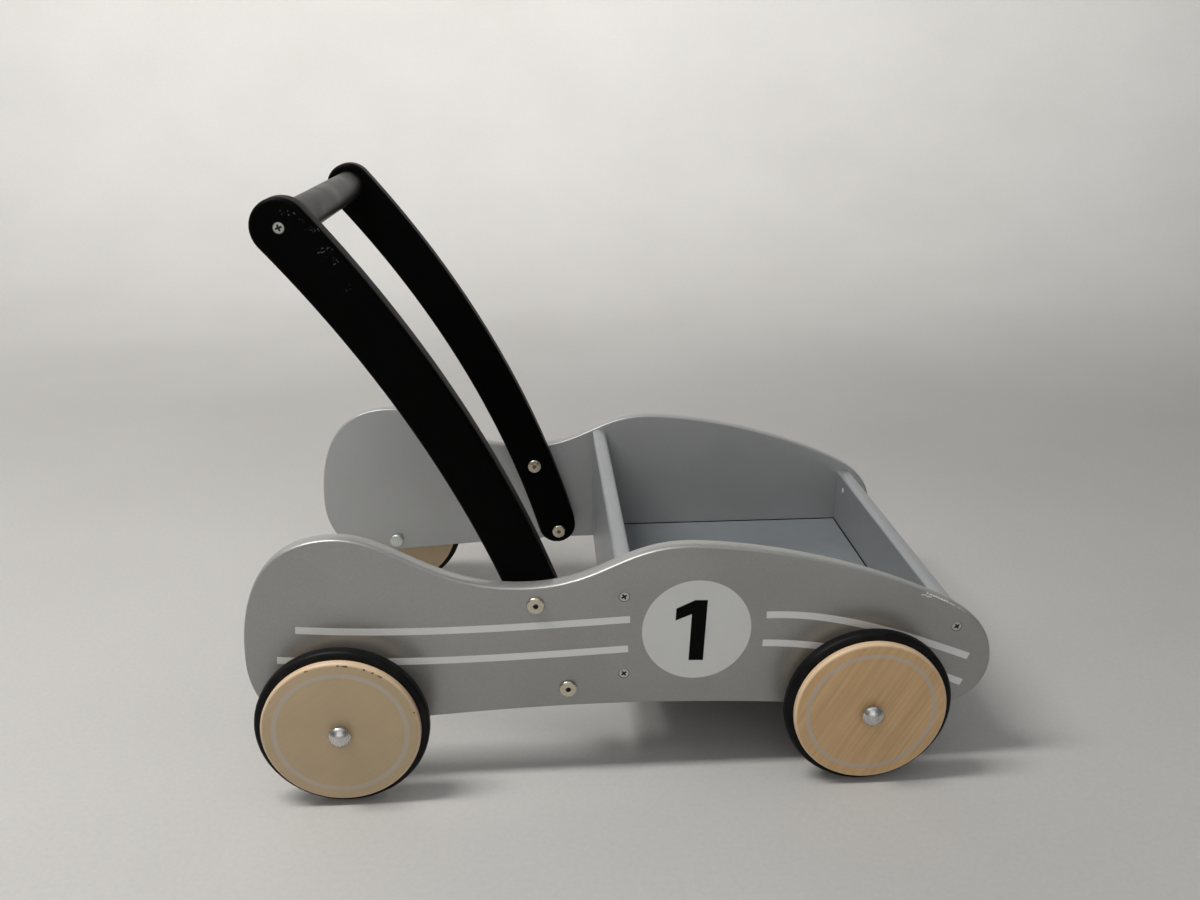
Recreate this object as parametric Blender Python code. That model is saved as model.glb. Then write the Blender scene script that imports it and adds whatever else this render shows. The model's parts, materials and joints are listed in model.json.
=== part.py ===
"""Push-along walker wagon for toddlers.

Two race-car side panels carry an open cargo tray and a bowed push handle, on four wooden wheels with
rubber tyres. Lengths are in metres. +X points to the nose, +Y to the wagon's left and +Z up. The origin is
on the floor, below the middle of the body. Pieces are placed from the rear axle, which the empty "chassis"
marks, so their own coordinates are distances ahead of the rear axle and heights above it.
"""
import math

import bmesh
import bpy
from mathutils import Matrix, Vector

# Fits: the gap between pieces that touch or pass through each other, and the wheels' end play
CLEARANCE = 0.0003
END_PLAY = 0.0004

# Running gear
WHEELBASE = 0.370
TYRE_RADIUS = 0.060
TYRE_WIDTH = 0.0095
TYRE_EDGE_RADIUS = 0.0028
TYRE_SEAT_DEPTH = 0.002
DISC_RADIUS = 0.0545
DISC_THICKNESS = 0.020
DISC_EDGE_RADIUS = 0.002
WHEEL_TO_PANEL = 0.007
AXLE_RADIUS = 0.003
AXLE_HEAD_RADIUS = 0.0078
AXLE_HEAD_HEIGHT = 0.0052
AXLE_HEAD_RIM = 0.001
AXLE_END_IN_NUT = 0.003
BUSH_WALL = 0.0022
BUSH_PROUD = 0.004
SPACER_WALL = 0.0055
CAP_NUT_WALL = 0.0029
CAP_NUT_HEIGHT = 0.0048
CAP_NUT_EDGE = 0.0013

# Side panels: heights are above the axles
BODY_WIDTH = 0.303
PANEL_THICKNESS = 0.012
PANEL_EDGE_RADIUS = 0.003
TAIL_OVERHANG = 0.067
TAIL_TIP_HEIGHT = 0.041
TAIL_HUMP_HEIGHT = 0.1334
VALLEY_AHEAD = 0.1285
VALLEY_HEIGHT = 0.0929
CREST_AHEAD = 0.241
CREST_HEIGHT = 0.121
SHOULDER_BEHIND_NOSE = 0.051
SHOULDER_HEIGHT = 0.0786
SHOULDER_SLOPE = -0.455
NOSE_OVERHANG = 0.095
NOSE_TIP_HEIGHT = 0.022
CHIN_BEHIND_NOSE = 0.050
CHIN_HEIGHT = -0.0155
CHIN_SLOPE = -0.085
BELLY_AHEAD = 0.1855
BELLY_HEIGHT = -0.0032
HEEL_BEHIND = 0.020
HEEL_HEIGHT = -0.013
HEEL_SLOPE = 0.06

# Cargo tray
BOARD_THICKNESS = 0.012
REAR_BOARD_AHEAD = 0.197
REAR_BOARD_TOP = 0.108
FRONT_BOARD_BEHIND_NOSE = 0.0285
FRONT_BOARD_TOP = 0.060
FRONT_BOARD_SLOPE = 10
BOARD_EDGE_RADIUS = 0.0018
FLOOR_TONGUE_THICKNESS = 0.002
FLOOR_FIELD_RISE = 0.0009
FLOOR_FIELD_GAP = 0.0011
FLOOR_ABOVE_NUT = 0.0003
GROOVE_DEPTH = 0.0045

# Push handle: both arms bow forward along an arc from the grip to the body
ARM_THICKNESS = 0.018
ARM_EDGE_RADIUS = 0.003
ARM_TOP_BEHIND = 0.0149
ARM_TOP_HEIGHT = 0.3367
ARM_FOOT_AHEAD = 0.1556
ARM_FOOT_HEIGHT = 0.0173
ARM_BOW = 0.0196
ARM_TOP_WIDTH = 0.0372
ARM_FOOT_WIDTH = 0.0346
GRIP_RADIUS = 0.012
GRIP_EDGE_RADIUS = 0.001

# Fasteners
HIGH_BOLT_BELOW_VALLEY = 0.0136
LOW_BOLT_FROM_TIP = 0.0118
BOLT_RADIUS = 0.003
BOLT_HEAD_RADIUS = 0.0063
BOLT_HEAD_HEIGHT = 0.0022
BOLT_END_IN_SLEEVE = 0.009
SLEEVE_WALL = 0.0012
SLEEVE_HEAD_RADIUS = 0.0062
SLEEVE_HEAD_HEIGHT = 0.002
SLEEVE_SHORTER = 0.002
HEX_RADIUS = 0.0021
HEX_DEPTH = 0.0013
FASTENER_EDGE = 0.0009
SCREW_RADIUS = 0.0018
SCREW_HEAD_RADIUS = 0.0036
SCREW_HEAD_DEPTH = 0.0022
SCREW_SET_BACK = 0.0001
SCREW_IN_BOARD = 0.024
GRIP_SCREW_IN_GRIP = 0.022
CROSS_LENGTH = 0.0042
CROSS_WIDTH = 0.0010
CROSS_DEPTH = 0.0011
REAR_SCREW_BELOW_TOP = 0.0247
REAR_SCREW_ABOVE_BOTTOM = 0.0254
FRONT_SCREW_BELOW_TOP = 0.009
DOWEL_RADIUS = 0.003
DOWEL_ABOVE_BOTTOM = 0.027
DOWEL_IN_PANEL = 0.007
DOWEL_IN_BOARD = 0.016
HOLE_OVERRUN = 0.004

# Facets: round a full turn, then along rounded edges and domes
WHEEL_FACETS = 36
ROD_FACETS = 20
FASTENER_FACETS = 12
EDGE_STEPS = 2
BOARD_EDGE_STEPS = 3
HEAD_DOME_STEPS = 5
ARM_STEPS = 14
ARM_END_STEPS = 9
SHARP_ANGLE = 50

# Places that follow from the sizes above
SIDES = (("right", -1), ("left", 1))
PANEL_OUTER = BODY_WIDTH / 2
PANEL_INNER = PANEL_OUTER - PANEL_THICKNESS
ARM_OUTER = PANEL_INNER - CLEARANCE
ARM_INNER = ARM_OUTER - ARM_THICKNESS
WHEEL_INNER = PANEL_OUTER + WHEEL_TO_PANEL
WHEEL_MIDDLE = WHEEL_INNER + DISC_THICKNESS / 2
WHEEL_OUTER = WHEEL_INNER + DISC_THICKNESS
NOSE_AHEAD = WHEELBASE + NOSE_OVERHANG
AXLES = (("rear", 0.0), ("front", WHEELBASE))
FRONT_BOARD_AHEAD = NOSE_AHEAD - FRONT_BOARD_BEHIND_NOSE
CAP_NUT_RADIUS = AXLE_RADIUS + CLEARANCE + CAP_NUT_WALL
FLOOR_UNDERSIDE = CAP_NUT_RADIUS + FLOOR_ABOVE_NUT
TONGUE_TOP = FLOOR_UNDERSIDE + FLOOR_TONGUE_THICKNESS
GROOVE_BOTTOM = FLOOR_UNDERSIDE - CLEARANCE
GROOVE_TOP = TONGUE_TOP + CLEARANCE
TRAY_REAR = REAR_BOARD_AHEAD + BOARD_THICKNESS / 2
TRAY_FRONT = FRONT_BOARD_AHEAD - BOARD_THICKNESS / 2
BOARD_END = PANEL_INNER - CLEARANCE
SLEEVE_RADIUS = BOLT_RADIUS + CLEARANCE + SLEEVE_WALL
BODY_MIDDLE = (NOSE_AHEAD - max(TAIL_OVERHANG, TYRE_RADIUS)) / 2


def clear_scene():
    """Remove every object that the scene holds."""
    for obj in list(bpy.data.objects):
        bpy.data.objects.remove(obj, do_unlink=True)


def material(name, colour, roughness, metallic=0.0):
    """Return a Principled material, made at its first use."""
    found = bpy.data.materials.get(name)
    if found:
        return found
    made = bpy.data.materials.new(name)
    made.use_nodes = True
    shader = made.node_tree.nodes["Principled BSDF"]
    shader.inputs["Base Color"].default_value = (*colour, 1.0)
    shader.inputs["Roughness"].default_value = roughness
    shader.inputs["Metallic"].default_value = metallic
    made.diffuse_color = (*colour, 1.0)
    return made


def silver_paint():
    return material("silver_paint", (0.20, 0.205, 0.20), 0.35, 0.4)


def black_paint():
    return material("black_paint", (0.012, 0.012, 0.012), 0.4)


def plywood():
    return material("plywood", (0.55, 0.40, 0.24), 0.5)


def rubber():
    return material("rubber", (0.01, 0.01, 0.011), 0.7)


def nylon():
    return material("nylon", (0.75, 0.74, 0.70), 0.45)


def nickel():
    return material("nickel", (0.62, 0.60, 0.55), 0.25, 1.0)


def beech():
    return material("beech", (0.60, 0.44, 0.28), 0.6)


def add_mesh(name, bm, finish, parent, location=(0.0, 0.0, 0.0), smooth_under=40):
    """Turn a bmesh into a named object with outward faces and smooth round stretches."""
    bmesh.ops.recalc_face_normals(bm, faces=bm.faces)
    mesh = bpy.data.meshes.new(name)
    bm.to_mesh(mesh)
    bm.free()
    mesh.materials.append(finish)
    mesh.shade_smooth()
    mesh.set_sharp_from_angle(angle=math.radians(smooth_under))
    obj = bpy.data.objects.new(name, mesh)
    obj.location = location
    obj.parent = parent
    bpy.context.scene.collection.objects.link(obj)
    return obj


def cut(target, shapes):
    """Subtract closed shapes, given in the target's own coordinates, through one hidden cutter."""
    bm = bmesh.new()
    for shape in shapes:
        holder = bpy.data.meshes.new("shape")
        shape.to_mesh(holder)
        shape.free()
        bm.from_mesh(holder)
        bpy.data.meshes.remove(holder)
    cutter = add_mesh(target.name + ".cutter", bm, target.data.materials[0], target.parent, target.location)
    cutter.hide_render = True
    cutter.display_type = "WIRE"
    modifier = target.modifiers.new("cuts", "BOOLEAN")
    modifier.operation = "DIFFERENCE"
    modifier.solver = "EXACT"
    modifier.object = cutter


def bezier(start, start_aim, end, end_aim, reach, steps):
    """Points of a cubic from start up to, not including, end. Handles are shares of the chord."""
    start, end = Vector(start), Vector(end)
    chord = (end - start).length
    first = start + Vector(start_aim).normalized() * chord * reach[0]
    second = end - Vector(end_aim).normalized() * chord * reach[1]
    points = []
    for step in range(steps):
        t = step / steps
        s = 1 - t
        points.append(s ** 3 * start + 3 * s * s * t * first + 3 * s * t * t * second + t ** 3 * end)
    return points


def arc(centre, radius, from_degrees, to_degrees, steps):
    """Points of a circular arc, both ends included, in the plane of a profile."""
    points = []
    for step in range(steps + 1):
        angle = math.radians(from_degrees + (to_degrees - from_degrees) * step / steps)
        points.append(Vector((centre[0] + radius * math.cos(angle), centre[1] + radius * math.sin(angle))))
    return points


def slab(outline, y_from, y_to):
    """A solid with an outline in X and Z, extruded across the wagon."""
    bm = bmesh.new()
    base = bm.faces.new([bm.verts.new((point[0], y_from, point[1])) for point in outline])
    grown = bmesh.ops.extrude_face_region(bm, geom=[base], use_keep_orig=True)
    far_verts = [item for item in grown["geom"] if isinstance(item, bmesh.types.BMVert)]
    bmesh.ops.translate(bm, vec=(0.0, y_to - y_from, 0.0), verts=far_verts)
    bmesh.ops.recalc_face_normals(bm, faces=bm.faces)
    return bm


def turned(profile, facets, closed=False):
    """A solid turned about the Y axis from (radius, along Y) points; a closed profile makes a ring."""
    bm = bmesh.new()
    verts = [bm.verts.new((radius, along, 0.0)) for radius, along in profile]
    edges = [bm.edges.new(pair) for pair in zip(verts, verts[1:])]
    if closed:
        edges.append(bm.edges.new((verts[-1], verts[0])))
    bmesh.ops.spin(bm, geom=verts + edges, cent=(0, 0, 0), axis=(0, 1, 0), angle=math.tau, steps=facets,
                   use_merge=True)
    bmesh.ops.remove_doubles(bm, verts=bm.verts, dist=1e-6)
    bmesh.ops.recalc_face_normals(bm, faces=bm.faces)
    return bm


def rod(radius, y_from, y_to, facets=FASTENER_FACETS, x=0.0, z=0.0):
    """A plain round bar along Y, used for bores."""
    bm = turned([(0.0, y_from), (radius, y_from), (radius, y_to), (0.0, y_to)], facets)
    bmesh.ops.translate(bm, vec=(x, 0.0, z), verts=bm.verts)
    return bm


def moved(bm, x, y, z):
    """The same shape at another place."""
    bmesh.ops.translate(bm, vec=(x, y, z), verts=bm.verts)
    return bm


def round_edges(obj, radius):
    """Round the sharp outer edges of an extruded piece."""
    bevel = obj.modifiers.new("rounded_edges", "BEVEL")
    bevel.width = radius
    bevel.segments = EDGE_STEPS
    bevel.limit_method = "ANGLE"
    bevel.angle_limit = math.radians(SHARP_ANGLE)


def panel_outline():
    """Race-car silhouette: tail hump, cockpit valley, bonnet crest, long slope, round nose, arched belly.

    A knot is a place on the outline, the heading there, the lengths of the curve's handles up to the
    following knot as shares of the distance, and the steps on the way.
    """
    knots = (
        ((-TAIL_OVERHANG, TAIL_TIP_HEIGHT), (0, 1), (0.303, 0.504), 9),
        ((0.0, TAIL_HUMP_HEIGHT), (1, 0), (0.297, 0.487), 9),
        ((VALLEY_AHEAD, VALLEY_HEIGHT), (1, 0), (0.452, 0.401), 8),
        ((CREST_AHEAD, CREST_HEIGHT), (1, 0), (0.10, 0.50), 8),
        ((NOSE_AHEAD - SHOULDER_BEHIND_NOSE, SHOULDER_HEIGHT), (1, SHOULDER_SLOPE), (0.419, 0.382), 8),
        ((NOSE_AHEAD, NOSE_TIP_HEIGHT), (0, -1), (0.42, 0.40), 7),
        ((NOSE_AHEAD - CHIN_BEHIND_NOSE, CHIN_HEIGHT), (-1, -CHIN_SLOPE), (0.33, 0.33), 6),
        ((BELLY_AHEAD, BELLY_HEIGHT), (-1, 0), (0.33, 0.33), 6),
        ((-HEEL_BEHIND, HEEL_HEIGHT), (-1, -HEEL_SLOPE), (0.414, 0.422), 7),
    )
    outline = []
    for knot, following in zip(knots, knots[1:] + knots[:1]):
        place, aim, reach, steps = knot
        outline += bezier(place, aim, following[0], following[1], reach, steps)
    return outline


def arm_middle(share):
    """Point and unit direction on an arm's middle line, from its top end to its foot."""
    top = Vector((-ARM_TOP_BEHIND, ARM_TOP_HEIGHT))
    foot = Vector((ARM_FOOT_AHEAD, ARM_FOOT_HEIGHT))
    along = foot - top
    forward = Vector((-along.y, along.x)).normalized()
    half_chord = along.length / 2
    radius = (half_chord ** 2 + ARM_BOW ** 2) / (2 * ARM_BOW)
    centre = (top + foot) / 2 - forward * (radius - ARM_BOW)
    half_sweep = math.asin(half_chord / radius)
    angle = half_sweep * (2 * share - 1)
    outward = forward * math.cos(angle) + along.normalized() * math.sin(angle)
    return centre + outward * radius, Vector((outward.y, -outward.x))


def arm_outline():
    """A bowed, slightly tapered strip with a round end at the grip and at the foot."""
    front, back = [], []
    for step in range(ARM_STEPS + 1):
        share = step / ARM_STEPS
        point, direction = arm_middle(share)
        half = (ARM_TOP_WIDTH + (ARM_FOOT_WIDTH - ARM_TOP_WIDTH) * share) / 2
        ahead = Vector((-direction.y, direction.x))
        front.append(point + ahead * half)
        back.append(point - ahead * half)
    foot, foot_aim = arm_middle(1.0)
    top, top_aim = arm_middle(0.0)
    foot_angle = math.degrees(math.atan2(foot_aim.y, foot_aim.x))
    top_angle = math.degrees(math.atan2(-top_aim.y, -top_aim.x))
    foot_end = arc(foot, ARM_FOOT_WIDTH / 2, foot_angle + 90, foot_angle - 90, ARM_END_STEPS)
    top_end = arc(top, ARM_TOP_WIDTH / 2, top_angle + 90, top_angle - 90, ARM_END_STEPS)
    return front + foot_end[1:-1] + back[::-1] + top_end[1:-1]


def bolt_places():
    """Both bolts of an arm: one under the valley's edge, one near the tip of the foot."""
    low_share, high_share = 0.0, 1.0
    wanted = VALLEY_HEIGHT - HIGH_BOLT_BELOW_VALLEY
    for _ in range(40):
        share = (low_share + high_share) / 2
        if arm_middle(share)[0].y > wanted:
            low_share = share
        else:
            high_share = share
    foot, direction = arm_middle(1.0)
    tip = foot + direction * (ARM_FOOT_WIDTH / 2 - LOW_BOLT_FROM_TIP)
    return (("high", arm_middle(share)[0]), ("low", tip))


def board_screw_places():
    """Names and places of the screws that hold one panel to the boards."""
    return (
        ("rear_high", REAR_BOARD_AHEAD, REAR_BOARD_TOP - REAR_SCREW_BELOW_TOP),
        ("rear_low", REAR_BOARD_AHEAD, BELLY_HEIGHT + REAR_SCREW_ABOVE_BOTTOM),
        ("front", FRONT_BOARD_AHEAD, FRONT_BOARD_TOP - FRONT_SCREW_BELOW_TOP),
    )


def screw_shape(side, length, gap=0.0, overrun=0.0):
    """A countersunk wood screw whose flat head is at Y 0 and whose shank runs inward."""
    head, shank = SCREW_HEAD_RADIUS + gap, SCREW_RADIUS + gap
    end = length + gap
    profile = [(0.0, overrun), (head, overrun)]
    if overrun:
        profile.append((head, 0.0))
    profile += [(shank, -SCREW_HEAD_DEPTH), (shank, 2 * shank - end), (0.0, -end)]
    return turned([(radius, side * along) for radius, along in profile], FASTENER_FACETS)


def cross_recess(side):
    """A cross-shaped pocket for the screwdriver."""
    long, short = CROSS_LENGTH / 2, CROSS_WIDTH / 2
    corner = ((long, -short), (long, short), (short, short))
    outline = []
    for quarter in range(4):
        turn = Matrix.Rotation(quarter * math.pi / 2, 2)
        outline += [turn @ Vector(point) for point in corner]
    return slab(outline, side * HOLE_OVERRUN, -side * CROSS_DEPTH)


def hex_recess(face, depth):
    """A six-sided pocket for a key, from a head's face inward."""
    corners = arc((0.0, 0.0), HEX_RADIUS, 0, 300, 5)
    inward = math.copysign(1.0, depth)
    return slab(corners, face - inward * HOLE_OVERRUN, face + depth)


def side_panel(chassis, side_name, side):
    """One body side with its axle, bolt, screw and dowel holes and the groove for the tray floor."""
    outer, inner = side * PANEL_OUTER, side * PANEL_INNER
    bm = slab(panel_outline(), outer, inner)
    panel = add_mesh("side_panel_" + side_name, bm, silver_paint(), chassis)
    round_edges(panel, PANEL_EDGE_RADIUS)
    beyond, within = side * (PANEL_OUTER + HOLE_OVERRUN), side * (PANEL_INNER - HOLE_OVERRUN)
    holes = [rod(AXLE_RADIUS + CLEARANCE, beyond, within, x=ahead) for _, ahead in AXLES]
    for _, place in bolt_places():
        holes.append(rod(BOLT_RADIUS + CLEARANCE, beyond, within, x=place.x, z=place.y))
    for _, ahead, height in board_screw_places():
        shape = screw_shape(side, PANEL_THICKNESS + SCREW_IN_BOARD, CLEARANCE, HOLE_OVERRUN)
        holes.append(moved(shape, ahead, side * (PANEL_OUTER - SCREW_SET_BACK), height))
    dowel_end = side * (PANEL_INNER + DOWEL_IN_PANEL + CLEARANCE)
    holes.append(rod(DOWEL_RADIUS + CLEARANCE, within, dowel_end, x=FRONT_BOARD_AHEAD,
                     z=BELLY_HEIGHT + DOWEL_ABOVE_BOTTOM))
    groove_from, groove_to = TRAY_REAR - GROOVE_DEPTH, TRAY_FRONT + GROOVE_DEPTH
    groove = ((groove_from, GROOVE_BOTTOM), (groove_to, GROOVE_BOTTOM), (groove_to, GROOVE_TOP),
              (groove_from, GROOVE_TOP))
    holes.append(slab(groove, within, side * (PANEL_INNER + GROOVE_DEPTH)))
    cut(panel, holes)


def end_board(chassis, name, ahead, top, tray_side, slope, screw_heights, dowel_height=None):
    """An upright tray board with a groove for the floor on its tray side.

    The top has rounded edges and falls from its middle to the front by a slope in degrees.
    """
    half = BOARD_THICKNESS / 2
    face, back = ahead + tray_side * half, ahead - tray_side * half
    groove = face - tray_side * GROOVE_DEPTH
    outline = [Vector((back, BELLY_HEIGHT)), Vector((face, BELLY_HEIGHT))]
    outline += [Vector((face, GROOVE_BOTTOM)), Vector((groove, GROOVE_BOTTOM))]
    outline += [Vector((groove, GROOVE_TOP)), Vector((face, GROOVE_TOP))]
    edge, fall = BOARD_EDGE_RADIUS, math.radians(slope)
    front_rise = top - (half - edge) * math.tan(fall) - edge / math.cos(fall)
    rim = arc((ahead + half - edge, front_rise), edge, 0, 90 - slope, BOARD_EDGE_STEPS)
    rim.append(Vector((ahead, top)))
    rim += arc((ahead - half + edge, top - edge), edge, 90, 180, BOARD_EDGE_STEPS)
    outline += rim if tray_side > 0 else rim[::-1]
    board = add_mesh(name, slab(outline, -BOARD_END, BOARD_END), silver_paint(), chassis)
    bores = []
    for _, side in SIDES:
        start = side * (BOARD_END + HOLE_OVERRUN)
        for height in screw_heights:
            stop = side * (PANEL_INNER - SCREW_IN_BOARD - CLEARANCE)
            bores.append(rod(SCREW_RADIUS + CLEARANCE, start, stop, x=ahead, z=height))
        if dowel_height is not None:
            stop = side * (PANEL_INNER - DOWEL_IN_BOARD - CLEARANCE)
            bores.append(rod(DOWEL_RADIUS + CLEARANCE, start, stop, x=ahead, z=dowel_height))
    cut(board, bores)


def tray(chassis):
    """Rear board, front board and the floor, whose rebated edge sits in grooves of boards and panels."""
    places = board_screw_places()
    rear_heights = [height for name, _, height in places if name.startswith("rear")]
    front_heights = [height for name, _, height in places if name.startswith("front")]
    end_board(chassis, "rear_board", REAR_BOARD_AHEAD, REAR_BOARD_TOP, 1, 0, rear_heights)
    end_board(chassis, "front_board", FRONT_BOARD_AHEAD, FRONT_BOARD_TOP, -1, FRONT_BOARD_SLOPE,
              front_heights, BELLY_HEIGHT + DOWEL_ABOVE_BOTTOM)
    tongue = GROOVE_DEPTH - CLEARANCE
    start, stop, edge = TRAY_REAR - tongue, TRAY_FRONT + tongue, PANEL_INNER + tongue
    outline = ((start, FLOOR_UNDERSIDE), (stop, FLOOR_UNDERSIDE), (stop, TONGUE_TOP), (start, TONGUE_TOP))
    bm = slab(outline, -edge, edge)
    field = max(bm.faces, key=lambda face: face.calc_center_median().z)
    bmesh.ops.inset_region(bm, faces=[field], thickness=tongue + FLOOR_FIELD_GAP, use_even_offset=True)
    raised = bmesh.ops.extrude_discrete_faces(bm, faces=[field])["faces"][0]
    bmesh.ops.translate(bm, vec=(0.0, 0.0, FLOOR_FIELD_RISE), verts=raised.verts)
    add_mesh("floor_board", bm, silver_paint(), chassis)


def handle_arm(chassis, side_name, side):
    """One handle arm with its bolt holes and the hole for the grip's screw."""
    bm = slab(arm_outline(), side * ARM_OUTER, side * ARM_INNER)
    arm = add_mesh("handle_arm_" + side_name, bm, black_paint(), chassis)
    round_edges(arm, ARM_EDGE_RADIUS)
    beyond, within = side * (ARM_OUTER + HOLE_OVERRUN), side * (ARM_INNER - HOLE_OVERRUN)
    holes = []
    for _, place in bolt_places():
        holes.append(rod(SLEEVE_RADIUS + CLEARANCE, beyond, within, x=place.x, z=place.y))
    top = arm_middle(0.0)[0]
    shape = screw_shape(side, ARM_THICKNESS + GRIP_SCREW_IN_GRIP, CLEARANCE, HOLE_OVERRUN)
    holes.append(moved(shape, top.x, side * (ARM_OUTER - SCREW_SET_BACK), top.y))
    cut(arm, holes)


def handle_grip(chassis):
    """The round bar between the arms' top ends, screwed on at both ends."""
    end = ARM_INNER - CLEARANCE
    edge = GRIP_EDGE_RADIUS
    profile = [(0.0, -end)]
    profile += [tuple(p) for p in arc((GRIP_RADIUS - edge, -end + edge), edge, -90, 0, EDGE_STEPS)]
    profile += [tuple(p) for p in arc((GRIP_RADIUS - edge, end - edge), edge, 0, 90, EDGE_STEPS)]
    profile.append((0.0, end))
    top = arm_middle(0.0)[0]
    grip = add_mesh("handle_bar", turned(profile, ROD_FACETS), black_paint(), chassis, (top.x, 0.0, top.y))
    depth = ARM_INNER - GRIP_SCREW_IN_GRIP - 2 * CLEARANCE
    cut(grip, [rod(SCREW_RADIUS + CLEARANCE, side * (end + HOLE_OVERRUN), side * depth) for _, side in SIDES])


def wood_screw(chassis, name, side, length, place):
    """A cross-head screw, sunk flush."""
    screw = add_mesh(name, screw_shape(side, length), nickel(), chassis, place)
    cut(screw, [cross_recess(side)])


def screws(chassis, side_name, side):
    """The screws and the dowel of one body side."""
    length = PANEL_THICKNESS + SCREW_IN_BOARD - SCREW_SET_BACK
    for name, ahead, height in board_screw_places():
        place = (ahead, side * (PANEL_OUTER - SCREW_SET_BACK), height)
        wood_screw(chassis, "panel_screw_" + name + "_" + side_name, side, length, place)
    top = arm_middle(0.0)[0]
    length = ARM_THICKNESS + GRIP_SCREW_IN_GRIP - SCREW_SET_BACK
    place = (top.x, side * (ARM_OUTER - SCREW_SET_BACK), top.y)
    wood_screw(chassis, "handle_bar_screw_" + side_name, side, length, place)
    pin = rod(DOWEL_RADIUS, side * (PANEL_INNER + DOWEL_IN_PANEL), side * (PANEL_INNER - DOWEL_IN_BOARD))
    add_mesh("front_dowel_" + side_name, pin, beech(), chassis,
             (FRONT_BOARD_AHEAD, 0.0, BELLY_HEIGHT + DOWEL_ABOVE_BOTTOM))


def head_profile(radius, height):
    """The flat face and rounded rim of a bolt head that rises from Y 0."""
    return [(0.0, height), (radius - FASTENER_EDGE, height), (radius, height - FASTENER_EDGE), (radius, 0.0)]


def arm_fasteners(chassis, side_name, side):
    """Key-head bolts through the panel, and the sleeve nuts that they enter inside the arm."""
    bolt_length = PANEL_THICKNESS + CLEARANCE + BOLT_END_IN_SLEEVE
    sleeve_length = ARM_THICKNESS - SLEEVE_SHORTER
    bore = BOLT_RADIUS + CLEARANCE
    for level, spot in bolt_places():
        name = "_".join((level, side_name))
        profile = head_profile(BOLT_HEAD_RADIUS, BOLT_HEAD_HEIGHT)
        profile += [(BOLT_RADIUS, 0.0), (BOLT_RADIUS, -bolt_length), (0.0, -bolt_length)]
        shape = turned([(radius, side * along) for radius, along in profile], FASTENER_FACETS)
        place = (spot.x, side * (PANEL_OUTER + CLEARANCE), spot.y)
        bolt = add_mesh("arm_bolt_" + name, shape, nickel(), chassis, place)
        cut(bolt, [hex_recess(side * BOLT_HEAD_HEIGHT, -side * HEX_DEPTH)])
        profile = head_profile(SLEEVE_HEAD_RADIUS, SLEEVE_HEAD_HEIGHT)
        profile += [(SLEEVE_RADIUS, 0.0), (SLEEVE_RADIUS, -sleeve_length), (bore, -sleeve_length)]
        profile += [(bore, 0.0), (0.0, 0.0)]
        shape = turned([(radius, -side * along) for radius, along in profile], FASTENER_FACETS)
        place = (spot.x, side * (ARM_INNER - CLEARANCE), spot.y)
        nut = add_mesh("arm_sleeve_nut_" + name, shape, nickel(), chassis, place)
        cut(nut, [hex_recess(-side * SLEEVE_HEAD_HEIGHT, side * HEX_DEPTH)])


def disc_profile(bore):
    """Half section of a wheel disc: flat faces, rounded rims and a groove that seats the tyre."""
    half, edge = DISC_THICKNESS / 2, DISC_EDGE_RADIUS
    seat, seat_half = DISC_RADIUS - TYRE_SEAT_DEPTH, TYRE_WIDTH / 2 + CLEARANCE
    profile = [(bore, -half)]
    profile += [tuple(p) for p in arc((DISC_RADIUS - edge, -half + edge), edge, -90, 0, EDGE_STEPS)]
    profile += [(DISC_RADIUS, -seat_half), (seat, -seat_half), (seat, seat_half), (DISC_RADIUS, seat_half)]
    profile += [tuple(p) for p in arc((DISC_RADIUS - edge, half - edge), edge, 0, 90, EDGE_STEPS)]
    profile.append((bore, half))
    return profile


def tyre_profile():
    """Half section of a tyre band with rounded shoulders."""
    inner = DISC_RADIUS - TYRE_SEAT_DEPTH + CLEARANCE
    half, edge = TYRE_WIDTH / 2, TYRE_EDGE_RADIUS
    profile = [(inner, -half)]
    profile += [tuple(p) for p in arc((TYRE_RADIUS - edge, -half + edge), edge, -90, 0, EDGE_STEPS)]
    profile += [tuple(p) for p in arc((TYRE_RADIUS - edge, half - edge), edge, 0, 90, EDGE_STEPS)]
    profile.append((inner, half))
    return profile


def ring_profile(inner, outer, half_length):
    """Half section of a plain sleeve or washer."""
    return [(inner, -half_length), (outer, -half_length), (outer, half_length), (inner, half_length)]


def axle_profile():
    """A dome-headed axle bolt whose head seat is at Y 0."""
    on_wheel = END_PLAY + BUSH_PROUD + DISC_THICKNESS
    length = on_wheel + WHEEL_TO_PANEL + PANEL_THICKNESS + CLEARANCE + AXLE_END_IN_NUT
    rise = AXLE_HEAD_HEIGHT - AXLE_HEAD_RIM
    sphere = (AXLE_HEAD_RADIUS ** 2 + rise ** 2) / (2 * rise)
    rim_angle = math.degrees(math.acos(AXLE_HEAD_RADIUS / sphere))
    dome = arc((0.0, AXLE_HEAD_HEIGHT - sphere), sphere, 90, rim_angle, HEAD_DOME_STEPS)
    profile = [(0.0, AXLE_HEAD_HEIGHT)] + [tuple(p) for p in dome[1:]]
    profile += [(AXLE_HEAD_RADIUS, 0.0), (AXLE_RADIUS, 0.0), (AXLE_RADIUS, -length), (0.0, -length)]
    return profile


def cap_nut_profile():
    """A flat round cap nut with a bevelled rim, open towards the panel, that rises from Y 0."""
    bore = AXLE_RADIUS + CLEARANCE
    depth = AXLE_END_IN_NUT + CLEARANCE
    rim, face = CAP_NUT_HEIGHT - CAP_NUT_EDGE, CAP_NUT_RADIUS - CAP_NUT_EDGE
    profile = [(0.0, depth), (bore, depth), (bore, 0.0), (CAP_NUT_RADIUS, 0.0)]
    profile += [(CAP_NUT_RADIUS, rim), (face, CAP_NUT_HEIGHT), (0.0, CAP_NUT_HEIGHT)]
    return profile


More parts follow.
